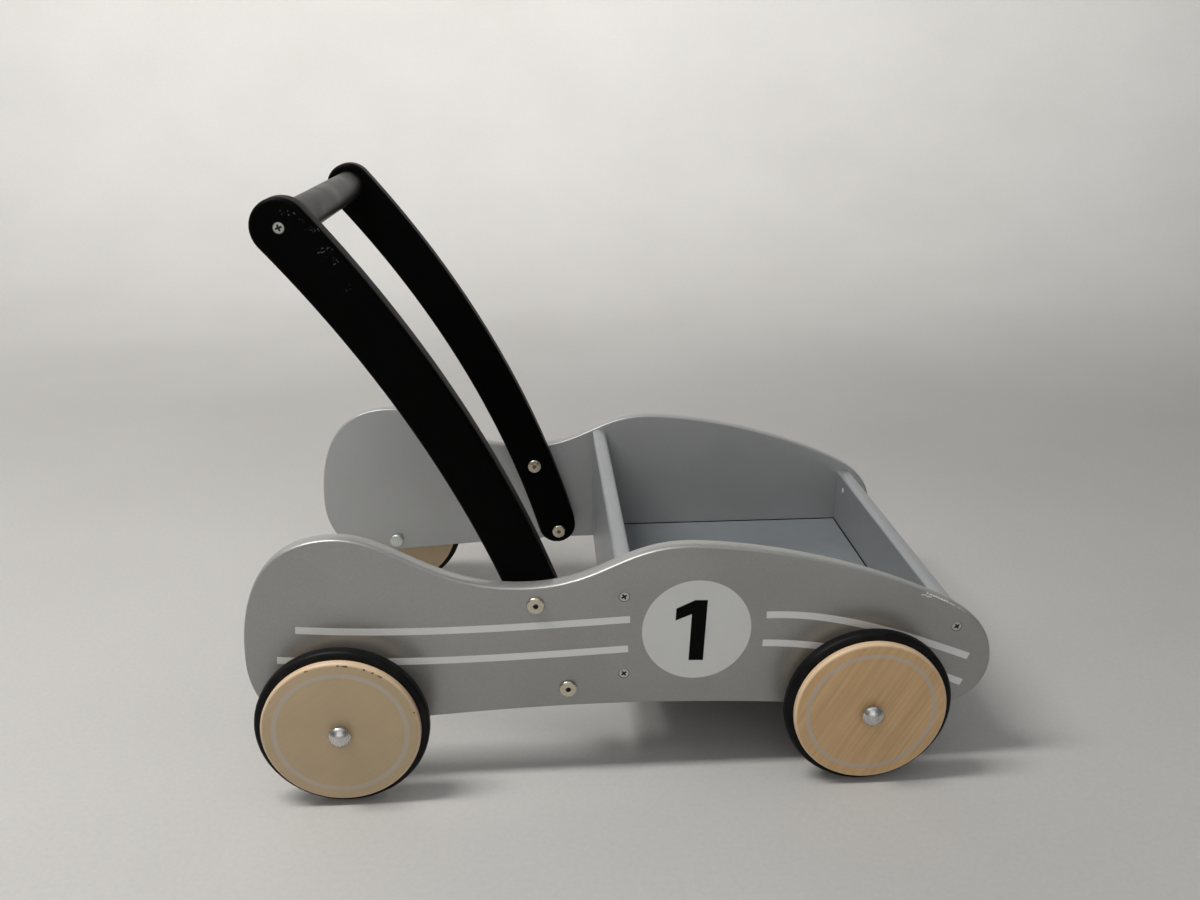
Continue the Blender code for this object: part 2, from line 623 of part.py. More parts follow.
def wheel(chassis, axle_name, ahead, side_name, side):
    """One wheel on its own stub axle: disc, tyre and bush turn; bolt, spacer and cap nut stay still.

    The bush stands proud of the disc's outer face, so the axle's head never rubs on the wood.
    """
    name = axle_name + "_" + side_name
    bush_bore = AXLE_RADIUS + CLEARANCE
    bush_outer = bush_bore + BUSH_WALL
    hub = bpy.data.objects.new("hub_" + name, None)
    hub.location = (ahead, side * WHEEL_MIDDLE, 0.0)
    hub.parent = chassis
    bpy.context.scene.collection.objects.link(hub)
    disc = turned(disc_profile(bush_outer + CLEARANCE), WHEEL_FACETS, closed=True)
    add_mesh("wheel_disc_" + name, disc, plywood(), hub)
    add_mesh("tyre_" + name, turned(tyre_profile(), WHEEL_FACETS, closed=True), rubber(), hub)
    bush = ring_profile(bush_bore, bush_outer, (DISC_THICKNESS + BUSH_PROUD) / 2)
    add_mesh("wheel_bush_" + name, turned(bush, FASTENER_FACETS, closed=True), nylon(), hub,
             (0.0, side * BUSH_PROUD / 2, 0.0))
    axle = turned([(radius, side * along) for radius, along in axle_profile()], FASTENER_FACETS)
    head_seat = side * (WHEEL_OUTER + BUSH_PROUD + END_PLAY)
    add_mesh("axle_bolt_" + name, axle, nickel(), chassis, (ahead, head_seat, 0.0))
    gap_middle = PANEL_OUTER + WHEEL_TO_PANEL / 2
    spacer = ring_profile(bush_bore, bush_bore + SPACER_WALL, WHEEL_TO_PANEL / 2 - CLEARANCE)
    add_mesh("wheel_spacer_" + name, turned(spacer, FASTENER_FACETS, closed=True), nylon(), chassis,
             (ahead, side * gap_middle, 0.0))
    cap = turned([(radius, -side * along) for radius, along in cap_nut_profile()], FASTENER_FACETS)
    add_mesh("axle_cap_nut_" + name, cap, nickel(), chassis, (ahead, side * (PANEL_INNER - CLEARANCE), 0.0))


def build():
    """Assemble the wagon round the rear axle."""
    clear_scene()
    chassis = bpy.data.objects.new("chassis", None)
    chassis.location = (-BODY_MIDDLE, 0.0, TYRE_RADIUS)
    bpy.context.scene.collection.objects.link(chassis)
    tray(chassis)
    handle_grip(chassis)
    for side_name, side in SIDES:
        side_panel(chassis, side_name, side)
        handle_arm(chassis, side_name, side)
        screws(chassis, side_name, side)
        arm_fasteners(chassis, side_name, side)
        for axle_name, ahead in AXLES:
            wheel(chassis, axle_name, ahead, side_name, side)


build()
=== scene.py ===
"""Looks of a push-along walker wagon for toddlers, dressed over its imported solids.

Finer meshes stand for the painted boards, the handle, the wheels and the fasteners, thin films carry the
printed race-car marks, and node materials give paint, lacquered wood, rubber and plated metal. Lengths are in
metres. Outlines are given as distances ahead of the rear axle and heights above it.
"""
import json
import math

import bmesh
import bpy
from mathutils import Matrix, Vector


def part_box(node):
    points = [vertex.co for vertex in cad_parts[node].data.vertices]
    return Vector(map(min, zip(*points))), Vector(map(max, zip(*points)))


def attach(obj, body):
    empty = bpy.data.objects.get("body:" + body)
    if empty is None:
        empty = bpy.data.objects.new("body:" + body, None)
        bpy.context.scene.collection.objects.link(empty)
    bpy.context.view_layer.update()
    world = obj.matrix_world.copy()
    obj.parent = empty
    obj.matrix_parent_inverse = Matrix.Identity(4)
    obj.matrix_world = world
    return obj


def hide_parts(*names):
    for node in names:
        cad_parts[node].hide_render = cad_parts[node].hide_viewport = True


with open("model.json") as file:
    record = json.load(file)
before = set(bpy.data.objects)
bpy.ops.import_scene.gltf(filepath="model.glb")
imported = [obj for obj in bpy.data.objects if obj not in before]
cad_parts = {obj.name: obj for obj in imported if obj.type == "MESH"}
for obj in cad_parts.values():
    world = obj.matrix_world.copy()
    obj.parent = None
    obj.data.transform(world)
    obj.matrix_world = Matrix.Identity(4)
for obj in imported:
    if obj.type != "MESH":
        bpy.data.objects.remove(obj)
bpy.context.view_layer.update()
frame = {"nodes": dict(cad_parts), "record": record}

SIDES = (("right", -1), ("left", 1))
ENDS = ("rear", "front")
JOINT_PLACES = {joint["child"]: Vector(joint["pos_m"]) for joint in frame["record"]["behaviour"]["joints"]}
REAR_AXLE = JOINT_PLACES["wheel_rear_left"]
PANEL_INNER, PANEL_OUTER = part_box("side_panel_left")[0].y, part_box("side_panel_left")[1].y

# Side panel outline: place, heading there, handle lengths up to the following knot as shares of the distance
PANEL_KNOTS = (
    ((-0.067, 0.041), (0, 1), (0.303, 0.504)),
    ((0.0, 0.1334), (1, 0), (0.297, 0.487)),
    ((0.1285, 0.0929), (1, 0), (0.452, 0.401)),
    ((0.241, 0.121), (1, 0), (0.10, 0.50)),
    ((0.414, 0.0786), (1, -0.455), (0.419, 0.382)),
    ((0.465, 0.022), (0, -1), (0.42, 0.40)),
    ((0.415, -0.0155), (-1, 0.085), (0.33, 0.33)),
    ((0.1855, -0.0032), (-1, 0), (0.33, 0.33)),
    ((-0.020, -0.013), (-1, -0.06), (0.414, 0.422)),
)
SPAN_STEPS = 26

# Painted boards: rise of the softly crowned edges, the front board's fall from its middle to its front in
# degrees and the edge there, rounded edges of the tray boards' feet, and how near to a bend the points lie
# that keep the flats beside it flat
PANEL_CROWN = 0.0018
BOARD_CROWN = 0.0026
CROWN_STEPS = 28
FRONT_BOARD_SLOPE = 10
FRONT_BOARD_EDGE = 0.0018
BOARD_FOOT_EDGE = 0.001
FLAT_HOLD = 0.0003

# Groove that holds the tray floor, as depth into the boards and height above and below the floor's face, and
# the depths below that face from which the floor's edge is fully dark, partly bare edge and partly painted
# shade in the joint, and down to which its paint is whole
GROOVE_DEPTH = 0.004
GROOVE_ABOVE = 0.0005
GROOVE_BELOW = 0.0011
FLOOR_EDGE_FULLY_DARK = 0.0006
FLOOR_EDGE_UNDARKENED = 0.0002

# Handle arms: middle line from the grip to the foot, bowed forward
ARM_TOP = Vector((-0.0149, 0.3364))
ARM_FOOT = Vector((0.1556, 0.0173))
ARM_BOW = 0.0196
ARM_TOP_WIDTH = 0.0372
ARM_FOOT_WIDTH = 0.0346
ARM_EDGE = 0.003
ARM_STEPS = 60
ARM_END_STEPS = 36
GRIP_EDGE = 0.001

# Wheels
DISC_EDGE = 0.002
TYRE_EDGE = 0.0028
SEAT_DEPTH = 0.002
SEAT_GAP = 0.0003
BORE_RADIUS = 0.0056
PRINTED_RING = 0.0453
PRINTED_RING_WIDTH = 0.0038
PRINTED_RING_BLUR = 0.0006
PLY_PITCH = 0.003

# Fasteners
BOLT_HEAD_HEIGHT = 0.0022
SLEEVE_HEAD_HEIGHT = 0.002
BOLT_RADIUS = 0.003
SLEEVE_RADIUS = 0.0045
HEAD_EDGE = 0.0011
HEX_RADIUS = 0.0021
HEX_CORNERS = 6
HEX_DEPTH = 0.0018
AXLE_HEAD_HEIGHT = 0.0052
AXLE_HEAD_RIM = 0.001
SCREW_RADIUS = 0.0018
SCREW_HEAD_DEPTH = 0.0022
SCREW_HEAD_RIM = 0.0003
SCREW_RING_GAP = 0.0002
CROSS_LENGTH = 0.0044
CROSS_WIDTH = 0.0013
CROSS_DEPTH = 0.0018
CAP_NUT_EDGE = 0.0013
SCREW_TURNS = {"panel_screw_rear_high": 32, "panel_screw_rear_low": 38, "panel_screw_front": 35,
               "handle_bar_screw": 18}

# Prints on both panels: how far a film stands proud and is sunk, then places and outlines
FILM = 0.00008
FILM_SUNK = 0.00004
ROUNDEL_PLACE = Vector((0.2484, 0.0554))
ROUNDEL_RADIUS = 0.0388
NUMERAL = ((-0.0148, 0.0175), (-0.0016, 0.0237), (0.0072, 0.0234), (0.0051, -0.0244), (-0.0053, -0.0240),
           (-0.0038, 0.0128), (-0.0153, 0.0081))
STRIPE_WIDTH = 0.0053
STRIPES = {
    "rear_upper": ((-0.0295, 0.0685), (0.0473, 0.0612), (0.1242, 0.0649), (0.2010, 0.0682)),
    "rear_lower": ((-0.0442, 0.0455), (0.0371, 0.0377), (0.1184, 0.0412), (0.1997, 0.0448)),
    "front_upper": ((0.2978, 0.0681), (0.3481, 0.0687), (0.3984, 0.0490), (0.4487, 0.0286)),
    "front_lower": ((0.2961, 0.0458), (0.3461, 0.0441), (0.3960, 0.0292), (0.4460, 0.0069)),
}
STRIPE_STEPS = 40

# Wear: scuffs on the near arm, by X and Z in the frame
ARM_SCUFFS = ((-0.2120, 0.4063), (-0.2054, 0.4056), (-0.1999, 0.4009), (-0.1959, 0.3951), (-0.1919, 0.3948),
              (-0.1897, 0.3826), (-0.1850, 0.3826), (-0.1868, 0.3772), (-0.1822, 0.3764), (-0.1742, 0.3588))
SCUFF_RADIUS = 0.0075
SCUFF_SCALE = 720.0
SCUFF_LEVEL = 0.585
# Pale broken line along the near panel's upper edge, worn paint at its start and a painted highlight where it
# fades forward, by X of its start, the start of its fading and its end, and the way that edge faces and how
# closely
WORN_AND_HIGHLIT_EDGE = (0.2128, 0.2268, 0.2530)
WORN_AND_HIGHLIT_EDGE_FACING = (0.28, -0.62, 0.73)
WORN_AND_HIGHLIT_EDGE_AIM = (0.93, 0.97)
WORN_AND_HIGHLIT_EDGE_SCALE = 700.0
WORN_AND_HIGHLIT_EDGE_LEVELS = (0.42, 0.50)
# Scratches on the near panel's face, by X and Z, and a chip on the front board, by Y and Z
PANEL_CHIPS = ((0.2092, 0.1373), (0.2102, 0.1372), (0.2112, 0.1371), (0.2122, 0.1370), (0.2132, 0.1359),
               (0.2142, 0.1358), (0.2152, 0.1356), (0.2162, 0.1354))
PANEL_CHIP_RADIUS = 0.0008
BOARD_CHIP = (0.1172, 0.1079)
BOARD_CHIP_RADIUS = 0.0038
CHIP_SCALE = 900.0
CHIP_LEVEL = 0.24
# Stretches of dents round the near rear wheel, by middle and half sweep in degrees
RIM_DENTS = ((15.5, 1.2), (56.0, 3.4), (61.5, 1.6), (68.0, 1.4), (84.0, 7.0), (110.0, 2.6), (149.5, 1.0))
RIM_DENT_FROM_EDGE = 0.0017
RIM_DENT_WIDTH = 0.0016
RIM_DENT_CORE = RIM_DENT_WIDTH / 4
RIM_DENT_SCALE = 750.0
RIM_DENT_LEVELS = (0.42, 0.50)
# Share of a mark's radius that is whole, how softly marks end, and pointiness and strength of the black
# paint's lighter edges, partly rubbed paint and partly a painted sheen
MARK_CORE = 0.3
MARK_SOFTNESS = 0.05
RUBBED_AND_SHEEN_POINTINESS = (0.52, 0.58)
RUBBED_AND_SHEEN_SHARE = 0.5

# Steps and facets of round shapes, the angle from which an edge is sharp, how near two rims come that meet,
# and how near two points lie that are one
RIM_STEPS = 6
HEAD_EDGE_STEPS = 5
GRIP_EDGE_STEPS = 4
DOME_STEPS = 14
ROUNDEL_STEPS = 120
WHEEL_FACETS = 128
ROD_FACETS = 64
FASTENER_FACETS = 48
SHARP_ANGLE = math.radians(32)
MEETING = 1e-6
WELD = 1e-7

# Noise: its middle, the stretch of its range in use, usually and for soft clouds, and features in a metre
NOISE_MIDDLE = 0.5
NOISE_SPREAD = (0.3, 0.7)
CLOUD_SPREAD = (0.35, 0.65)
FLAKE_SCALE = 2400.0
BRUSH_SCALE = 420.0
# Features of birch in a metre along, through and across its grain, and how grain and plies shade it
FIGURE_SCALE = (14.0, 40.0, 400.0)
FIBRE_SCALE = (90.0, 200.0, 2200.0)
GRAIN_SHADE = (0.96, 1.03)
PLY_SHADE = (0.95, 1.03)
# Shares of bare wood on a rim, of the printed ring's cover by noise, of metal in paint, and of thin ink
RIM_BARENESS = 0.8
RING_PATCHES = (0.25, 0.6)
RING_COVER = (0.50, 0.66)
PAINT_METAL = 0.55
THIN_INK = 0.97
# Range of a plating's roughness as shares of the given one, and how much finer a plain solid's relief is than
# its colour
PLATE_DULLING = (0.9, 1.15)
RELIEF_FINENESS = 4
# Sockets of the Mix node that belong to colours
MIX_INPUTS = (0, 6, 7)
MIX_OUTPUT = 2

# Colours, in pairs where noise mixes them
# The two panels carry one silver paint in lit and shaded copies: the near panel's darker tones are painted
# shade, the far panel's lighter, cooler tones are painted light
NEAR_PANEL_SHADED_TONES = ((0.332, 0.331, 0.320), (0.353, 0.353, 0.344))
FAR_PANEL_LIT_TONES = ((0.378, 0.384, 0.384), (0.400, 0.407, 0.408))
# Tray boards: the silver paint tinted bluish as painted cool shade inside the tray
BOARD_COOL_SHADE_TONES = ((0.305, 0.318, 0.330), (0.325, 0.338, 0.350))
# Tray floor: darker bluish tones as painted cool shade inside the tray
TRAY_COOL_SHADE_TONES = ((0.200, 0.215, 0.226), (0.220, 0.235, 0.246))
# Near-black floor edge in the joint: partly its bare edge, partly painted shade in the gap
TRAY_EDGE_AND_JOINT_SHADE = (0.012, 0.011, 0.010)
# Pale filler shown by chips, also the colour of the painted highlight along the near panel's upper edge
FILLER_AND_HIGHLIGHT = (0.80, 0.78, 0.74)
RAW_PANEL_TONES = ((0.030, 0.028, 0.025), (0.018, 0.016, 0.014))
BLACK_TONES = ((0.0004, 0.0004, 0.0004), (0.0008, 0.0007, 0.0007))
# Grey-brown of the black paint's convex edges, partly rubbed paint and partly painted sheen
RUBBED_AND_SHEEN_BLACK = (0.060, 0.050, 0.042)
SCUFFED_BLACK = (0.085, 0.082, 0.076)
RAW_ARM_TONES = ((0.012, 0.010, 0.008), (0.006, 0.005, 0.004))
GRIP_TONES = ((0.0035, 0.0033, 0.0031), (0.0065, 0.0060, 0.0055))
PALE_BIRCH = ((0.470, 0.354, 0.210), (0.508, 0.385, 0.232))
WARM_BIRCH = ((0.538, 0.340, 0.160), (0.655, 0.432, 0.222))
BARE_BIRCH = ((0.66, 0.48, 0.32), (0.71, 0.53, 0.36))
RING_GREY = (0.46, 0.43, 0.40)
DENT_BROWN = (0.085, 0.050, 0.026)
RUBBER_TONES = ((0.0035, 0.0035, 0.0042), (0.014, 0.0135, 0.013))
NICKEL_TONES = ((0.64, 0.59, 0.49), (0.56, 0.50, 0.40))
ZINC_TONES = ((0.64, 0.64, 0.62), (0.54, 0.54, 0.52))
CHROME_TONES = ((0.64, 0.63, 0.61), (0.56, 0.55, 0.53))
PALE_ZINC_TONES = ((0.66, 0.70, 0.66), (0.58, 0.62, 0.58))
# Socket floors near black: partly grime, partly painted shade in the recesses
GRIME_AND_SHADE_TONES = ((0.045, 0.035, 0.022), (0.020, 0.016, 0.011))
BRASS_TONES = ((0.34, 0.25, 0.12), (0.24, 0.17, 0.08))
PALE_INK = (0.675, 0.68, 0.668)
SILVERY_INK = (0.745, 0.75, 0.745)
DARK_INK = (0.0018, 0.0018, 0.0018)
# Dark grey for the nylon bushes and spacers: painted shade under the axle heads
NYLON_SHADE_TONES = ((0.20, 0.20, 0.19), (0.15, 0.15, 0.14))
BEECH_TONES = ((0.56, 0.41, 0.26), (0.48, 0.34, 0.20))
STUDIO_TONES = ((0.44, 0.43, 0.415), (0.47, 0.46, 0.445))
# Grain of each wheel: its turn in radians, contrast and colours
WHEEL_GRAIN = {
    "rear_right": (0.6, 1.2, PALE_BIRCH),
    "rear_left": (2.1, 1.6, PALE_BIRCH),
    "front_right": (1.05, 2.8, WARM_BIRCH),
    "front_left": (1.8, 2.4, WARM_BIRCH),
}

# Studio: round floor, the sweep round it, lights, sky and the photograph's viewpoint
FLOOR_MIDDLE = (0.0, -1.6, 0.0)
FLOOR_RADIUS = 3.1
SWEEP_RADIUS = 1.2
SWEEP_TOP = 4.0
SWEEP_FACETS = 144
SWEEP_STEPS = 32
# Name, place, aim, width and depth, spread in degrees, power and tint
LIGHTS = (
    ("strip", (-0.90, -0.27, 1.65), (-0.90, -0.27, 0.0), (1.0, 0.25), 180, 28.0, (1.0, 0.98, 0.95)),
    ("wash", (-0.6, 0.9, 2.8), (-0.6, 2.7, 1.5), (5.0, 0.8), 120, 88.0, (1.0, 0.99, 0.97)),
    ("fill", (-0.2, -2.6, 1.5), (0.0, 0.0, 0.1), (2.2, 2.2), 180, 10.0, (0.97, 0.985, 1.0)),
    ("front_wash", (0.0, -3.4, 2.9), (0.0, -5.8, 1.4), (5.0, 0.8), 140, 55.0, (1.0, 0.99, 0.97)),
    ("ceiling", (-0.5, -0.8, 2.9), (-0.5, -0.8, 0.0), (4.0, 2.0), 180, 10.0, (0.97, 0.985, 1.0)),
)
SKY = (0.80, 0.85, 0.90)
SKY_STRENGTH = 0.30
CAMERA_PLACE = Vector((-0.0574, -0.7912, 0.4828))
CAMERA_YAW = math.radians(-3.48)
CAMERA_PITCH = math.radians(19.80)
CAMERA_ROLL = math.radians(-0.22)
CAMERA_LENS = 31.10
CAMERA_SENSOR = 36.0


def in_world(point):
    """A place given from the rear axle, in the frame."""
    return Vector((point[0] + REAR_AXLE.x, point[1] + REAR_AXLE.z))


def cubic(points, steps):
    """Points of a cubic curve, both ends included."""
    start, first, second, end = (Vector(point) for point in points)
    made = []
    for step in range(steps + 1):
        t = step / steps
        s = 1 - t
        made.append(s ** 3 * start + 3 * s * s * t * first + 3 * s * t * t * second + t ** 3 * end)
    return made


def arc(centre, radius, from_degrees, to_degrees, steps):
    """Points of a circular arc, both ends included."""
    made = []
    for step in range(steps + 1):
        angle = math.radians(from_degrees + (to_degrees - from_degrees) * step / steps)
        made.append(Vector((centre[0] + radius * math.cos(angle), centre[1] + radius * math.sin(angle))))
    return made


def panel_outline():
    """Race-car silhouette in the frame: tail hump, cockpit valley, bonnet crest, round nose, arched belly."""
    outline = []
    for knot, following in zip(PANEL_KNOTS, PANEL_KNOTS[1:] + PANEL_KNOTS[:1]):
        start, end = in_world(knot[0]), in_world(following[0])
        chord = (end - start).length
        first = start + Vector(knot[1]).normalized() * chord * knot[2][0]
        second = end - Vector(following[1]).normalized() * chord * knot[2][1]
        outline += cubic((start, first, second, end), SPAN_STEPS)[:-1]
    return outline


def arm_middle(share):
    """Point and unit direction on an arm's middle line, from its top end to its foot."""
    along = ARM_FOOT - ARM_TOP
    forward = Vector((-along.y, along.x)).normalized()
    half_chord = along.length / 2
    radius = (half_chord ** 2 + ARM_BOW ** 2) / (2 * ARM_BOW)
    centre = (ARM_TOP + ARM_FOOT) / 2 - forward * (radius - ARM_BOW)
    angle = math.asin(half_chord / radius) * (2 * share - 1)
    outward = forward * math.cos(angle) + along.normalized() * math.sin(angle)
    return in_world(centre + outward * radius), Vector((outward.y, -outward.x))


def arm_outline():
    """A bowed, slightly tapered strip with a round end at the grip and at the foot."""
    front, back = [], []
    for step in range(ARM_STEPS + 1):
        share = step / ARM_STEPS
        point, direction = arm_middle(share)
        half = (ARM_TOP_WIDTH + (ARM_FOOT_WIDTH - ARM_TOP_WIDTH) * share) / 2
        ahead = Vector((-direction.y, direction.x))
        front.append(point + ahead * half)
        back.append(point - ahead * half)
    foot, foot_aim = arm_middle(1.0)
    top, top_aim = arm_middle(0.0)
    foot_angle = math.degrees(math.atan2(foot_aim.y, foot_aim.x))
    top_angle = math.degrees(math.atan2(-top_aim.y, -top_aim.x))
    foot_end = arc(foot, ARM_FOOT_WIDTH / 2, foot_angle + 90, foot_angle - 90, ARM_END_STEPS)
    top_end = arc(top, ARM_TOP_WIDTH / 2, top_angle + 90, top_angle - 90, ARM_END_STEPS)
    return front + foot_end[1:-1] + back[::-1] + top_end[1:-1]


def outward_normals(outline):
    """Unit normals that point out of a closed outline."""
    pairs = list(zip(outline, outline[1:] + outline[:1]))
    turn = 1 if sum(a.cross(b) for a, b in pairs) > 0 else -1
    normals = []
    for before, after in zip(outline[-1:] + outline[:-1], outline[1:] + outline[:1]):
        tangent = (after - before).normalized()
        normals.append(Vector((tangent.y, -tangent.x)) * turn)
    return normals


def rounded_slab(outline, y_low, y_high, rise, reach, steps):
    """A board with a smooth outline in X and Z, whose edge falls by a rise over a reach to both faces."""
    normals = outward_normals(outline)
    rim = []
    for step in range(steps + 1):
        angle = math.pi / 2 * step / steps
        rim.append((rise * (1 - math.sin(angle)), reach * (1 - math.cos(angle))))
    rows = [(inset, y_low + depth) for inset, depth in rim]
    if y_high - y_low - 2 * reach < MEETING:
        rim.pop()
    rows += [(inset, y_high - depth) for inset, depth in reversed(rim)]
    bm = bmesh.new()
    rings = []
    for inset, y in rows:
        places = [point - normal * inset for point, normal in zip(outline, normals)]
        rings.append([bm.verts.new((place.x, y, place.y)) for place in places])
    for ring, following in zip(rings, rings[1:]):
        for index in range(len(ring)):
            after = (index + 1) % len(ring)
            bm.faces.new((ring[index], ring[after], following[after], following[index])).smooth = True
    bm.faces.new(rings[0])
    bm.faces.new(rings[-1])
    bmesh.ops.recalc_face_normals(bm, faces=bm.faces)
    return bm


def slab(outline, y_from, y_to, smooth=False):
    """A closed shape with an outline in X and Z between two places along Y."""
    bm = bmesh.new()
    near = [bm.verts.new((point[0], y_from, point[1])) for point in outline]
    far = [bm.verts.new((point[0], y_to, point[1])) for point in outline]
    for index in range(len(near)):
        after = (index + 1) % len(near)
        bm.faces.new((near[index], near[after], far[after], far[index])).smooth = smooth
    bm.faces.new(near)
    bm.faces.new(far)
    bmesh.ops.recalc_face_normals(bm, faces=bm.faces)
    return bm


def turned(profile, facets, closed=False):
    """A shape turned about the Y axis from (radius, along Y) points; a closed profile makes a ring."""
    bm = bmesh.new()
    verts = [bm.verts.new((radius, along, 0.0)) for radius, along in profile]
    edges = [bm.edges.new(pair) for pair in zip(verts, verts[1:])]
    if closed:
        edges.append(bm.edges.new((verts[-1], verts[0])))
    bmesh.ops.spin(bm, geom=verts + edges, cent=(0, 0, 0), axis=(0, 1, 0), angle=math.tau, steps=facets,
                   use_merge=True)
    bmesh.ops.remove_doubles(bm, verts=bm.verts, dist=WELD)
    bmesh.ops.recalc_face_normals(bm, faces=bm.faces)
    for face in bm.faces:
        face.smooth = True
    return bm


def moved(bm, x, y, z):
    """The same shape at another place."""
    bmesh.ops.translate(bm, vec=(x, y, z), verts=bm.verts)
    return bm


def helper_object(bm):
    """A passing object made from a shape, with places for two materials."""
    mesh = bpy.data.meshes.new("helper")
    mesh.materials.append(None)
    mesh.materials.append(None)
    bm.to_mesh(mesh)
    bm.free()
    obj = bpy.data.objects.new("helper", mesh)
    bpy.context.scene.collection.objects.link(obj)
    return obj


def carved(bm, shapes):
    """A closed shape less other closed shapes, whose cuts take the second material."""
    for shape in shapes:
        for face in shape.faces:
            face.material_index = 1
        target, cutter = helper_object(bm), helper_object(shape)
        modifier = target.modifiers.new("cut", "BOOLEAN")
        modifier.operation = "DIFFERENCE"
        modifier.solver = "EXACT"
        modifier.object = cutter
        bpy.context.view_layer.update()
        result = target.evaluated_get(bpy.context.evaluated_depsgraph_get())
        bm = bmesh.new()
        bm.from_mesh(result.to_mesh())
        result.to_mesh_clear()
        for spent in (target, cutter):
            mesh = spent.data
            bpy.data.objects.remove(spent, do_unlink=True)
            bpy.data.meshes.remove(mesh)
    return bm


def piece(name, bm, finishes, body="frame", node=None, place=(0.0, 0.0, 0.0)):
    """A visible piece that rides on a body and, where a node is named, stands for it."""
    mesh = bpy.data.meshes.new(name)
    bm.to_mesh(mesh)
    bm.free()
    for finish in finishes:
        mesh.materials.append(finish)
    mesh.set_sharp_from_angle(angle=SHARP_ANGLE)
    obj = bpy.data.objects.new(name, mesh)
    obj.location = place
    bpy.context.scene.collection.objects.link(obj)
    bpy.context.view_layer.update()
    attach(obj, body)
    if node:
        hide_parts(node)


def colour(value):
    """A colour socket as it is, or a plain colour with its alpha."""
    return value if isinstance(value, bpy.types.NodeSocket) else (*value, 1.0)


class Finish:
    """A node material in the making."""

    def __init__(self, name):
        self.material = bpy.data.materials.new(name)
        self.material.use_nodes = True
        self.tree = self.material.node_tree
        self.shader = self.tree.nodes["Principled BSDF"]
        self.where = self.node("TexCoord").outputs["Object"]

    def put(self, socket, value):
        """Link a socket to another one, or set it to a value."""
        if isinstance(value, bpy.types.NodeSocket):
            self.tree.links.new(value, socket)
        else:
            socket.default_value = value

    def node(self, kind, sockets=None, **settings):
        """Add a node with its settings, and link or set its sockets."""
        made = self.tree.nodes.new("ShaderNode" + kind)
        for key, value in settings.items():
            setattr(made, key, value)
        for key, value in (sockets or {}).items():
            self.put(made.inputs[key], value)
        return made

    def surface(self, **sockets):
        """Feed the shader's sockets; underscores stand for the spaces in their names."""
        for key, value in sockets.items():
            self.put(self.shader.inputs[key.replace("_", " ")], value)

    def math(self, operation, first, second=0.0):
        """A number worked out from one or two others."""
        return self.node("Math", {0: first, 1: second}, operation=operation).outputs[0]

    def noise(self, scale, detail=2.0, vector=None):
        """Soft noise with so many features in a metre."""
        made = self.node("TexNoise", {"Vector": vector or self.where, "Scale": scale, "Detail": detail})
        return made.outputs["Fac"]

    def stretched(self, turn, scale):
        """Coordinates turned about Y and scaled, so that a noise in them runs in streaks."""
        made = self.node("Mapping", {"Vector": self.where, "Rotation": (0.0, turn, 0.0)})
        return self.node("VectorMath", {0: made.outputs[0], 1: scale}, operation="MULTIPLY").outputs[0]

    def remap(self, value, low, high, to_low=0.0, to_high=1.0):
        """A value moved from one range into another and kept inside it."""
        sockets = {"Value": value, "From Min": low, "From Max": high, "To Min": to_low, "To Max": to_high}
        return self.node("MapRange", sockets).outputs[0]

    def varied(self, scale, detail, low=0.0, high=1.0):
        """Noise spread between a low and a high value."""
        return self.remap(self.noise(scale, detail), *NOISE_SPREAD, low, high)

    def mix(self, share, first, second):
        """A colour between two others."""
        factor, start, end = MIX_INPUTS
        sockets = {factor: share, start: colour(first), end: colour(second)}
        return self.node("Mix", sockets, data_type="RGBA").outputs[MIX_OUTPUT]

    def scaled(self, tone, factor):
        """A colour made darker or lighter."""
        return self.node("VectorMath", {0: tone, "Scale": factor}, operation="SCALE").outputs[0]

    def bump(self, height, strength, distance):
        """A normal with fine unevenness."""
        return self.node("Bump", {"Height": height, "Strength": strength, "Distance": distance}).outputs[0]

    def edge_wear_and_sheen(self, scale, from_noise, to_noise):
        """Where convex edges are lighter, in patches: partly rubbed paint, partly a painted sheen."""
        pointed = self.node("NewGeometry").outputs["Pointiness"]
        edges = self.remap(pointed, *RUBBED_AND_SHEEN_POINTINESS)
        return self.math("MULTIPLY", edges, self.remap(self.noise(scale, detail=4.0), from_noise, to_noise))

    def marks(self, centre, radius, scale, level):
        """A ragged group of marks around a point, sparser at a higher level."""
        apart = self.node("VectorMath", {0: self.where, 1: centre}, operation="DISTANCE").outputs["Value"]
        near = self.remap(apart, radius * MARK_CORE, radius, 1.0, 0.0)
        ragged = self.math("MULTIPLY", near, self.noise(scale, detail=4.0))
        return self.remap(ragged, level, level + MARK_SOFTNESS)

    def rubbed_and_highlit_edge(self):
        """A broken pale line along the near panel's upper outer edge: worn paint at its start and a painted
        highlight where it fades forward.
        """
        normal = self.node("NewGeometry").outputs["Normal"]
        facing = self.node("VectorMath", {0: normal, 1: WORN_AND_HIGHLIT_EDGE_FACING}, operation="DOT_PRODUCT")
        on_edge = self.remap(facing.outputs["Value"], *WORN_AND_HIGHLIT_EDGE_AIM)
        along = self.node("SeparateXYZ", {0: self.where}).outputs["X"]
        start, fading, end = WORN_AND_HIGHLIT_EDGE
        begun = self.math("GREATER_THAN", along, start)
        within = self.math("MULTIPLY", begun, self.remap(along, fading, end, 1.0, 0.0))
        patchy = self.remap(self.noise(WORN_AND_HIGHLIT_EDGE_SCALE, detail=3.0), *WORN_AND_HIGHLIT_EDGE_LEVELS)
        return self.math("MULTIPLY", self.math("MULTIPLY", within, patchy), on_edge)


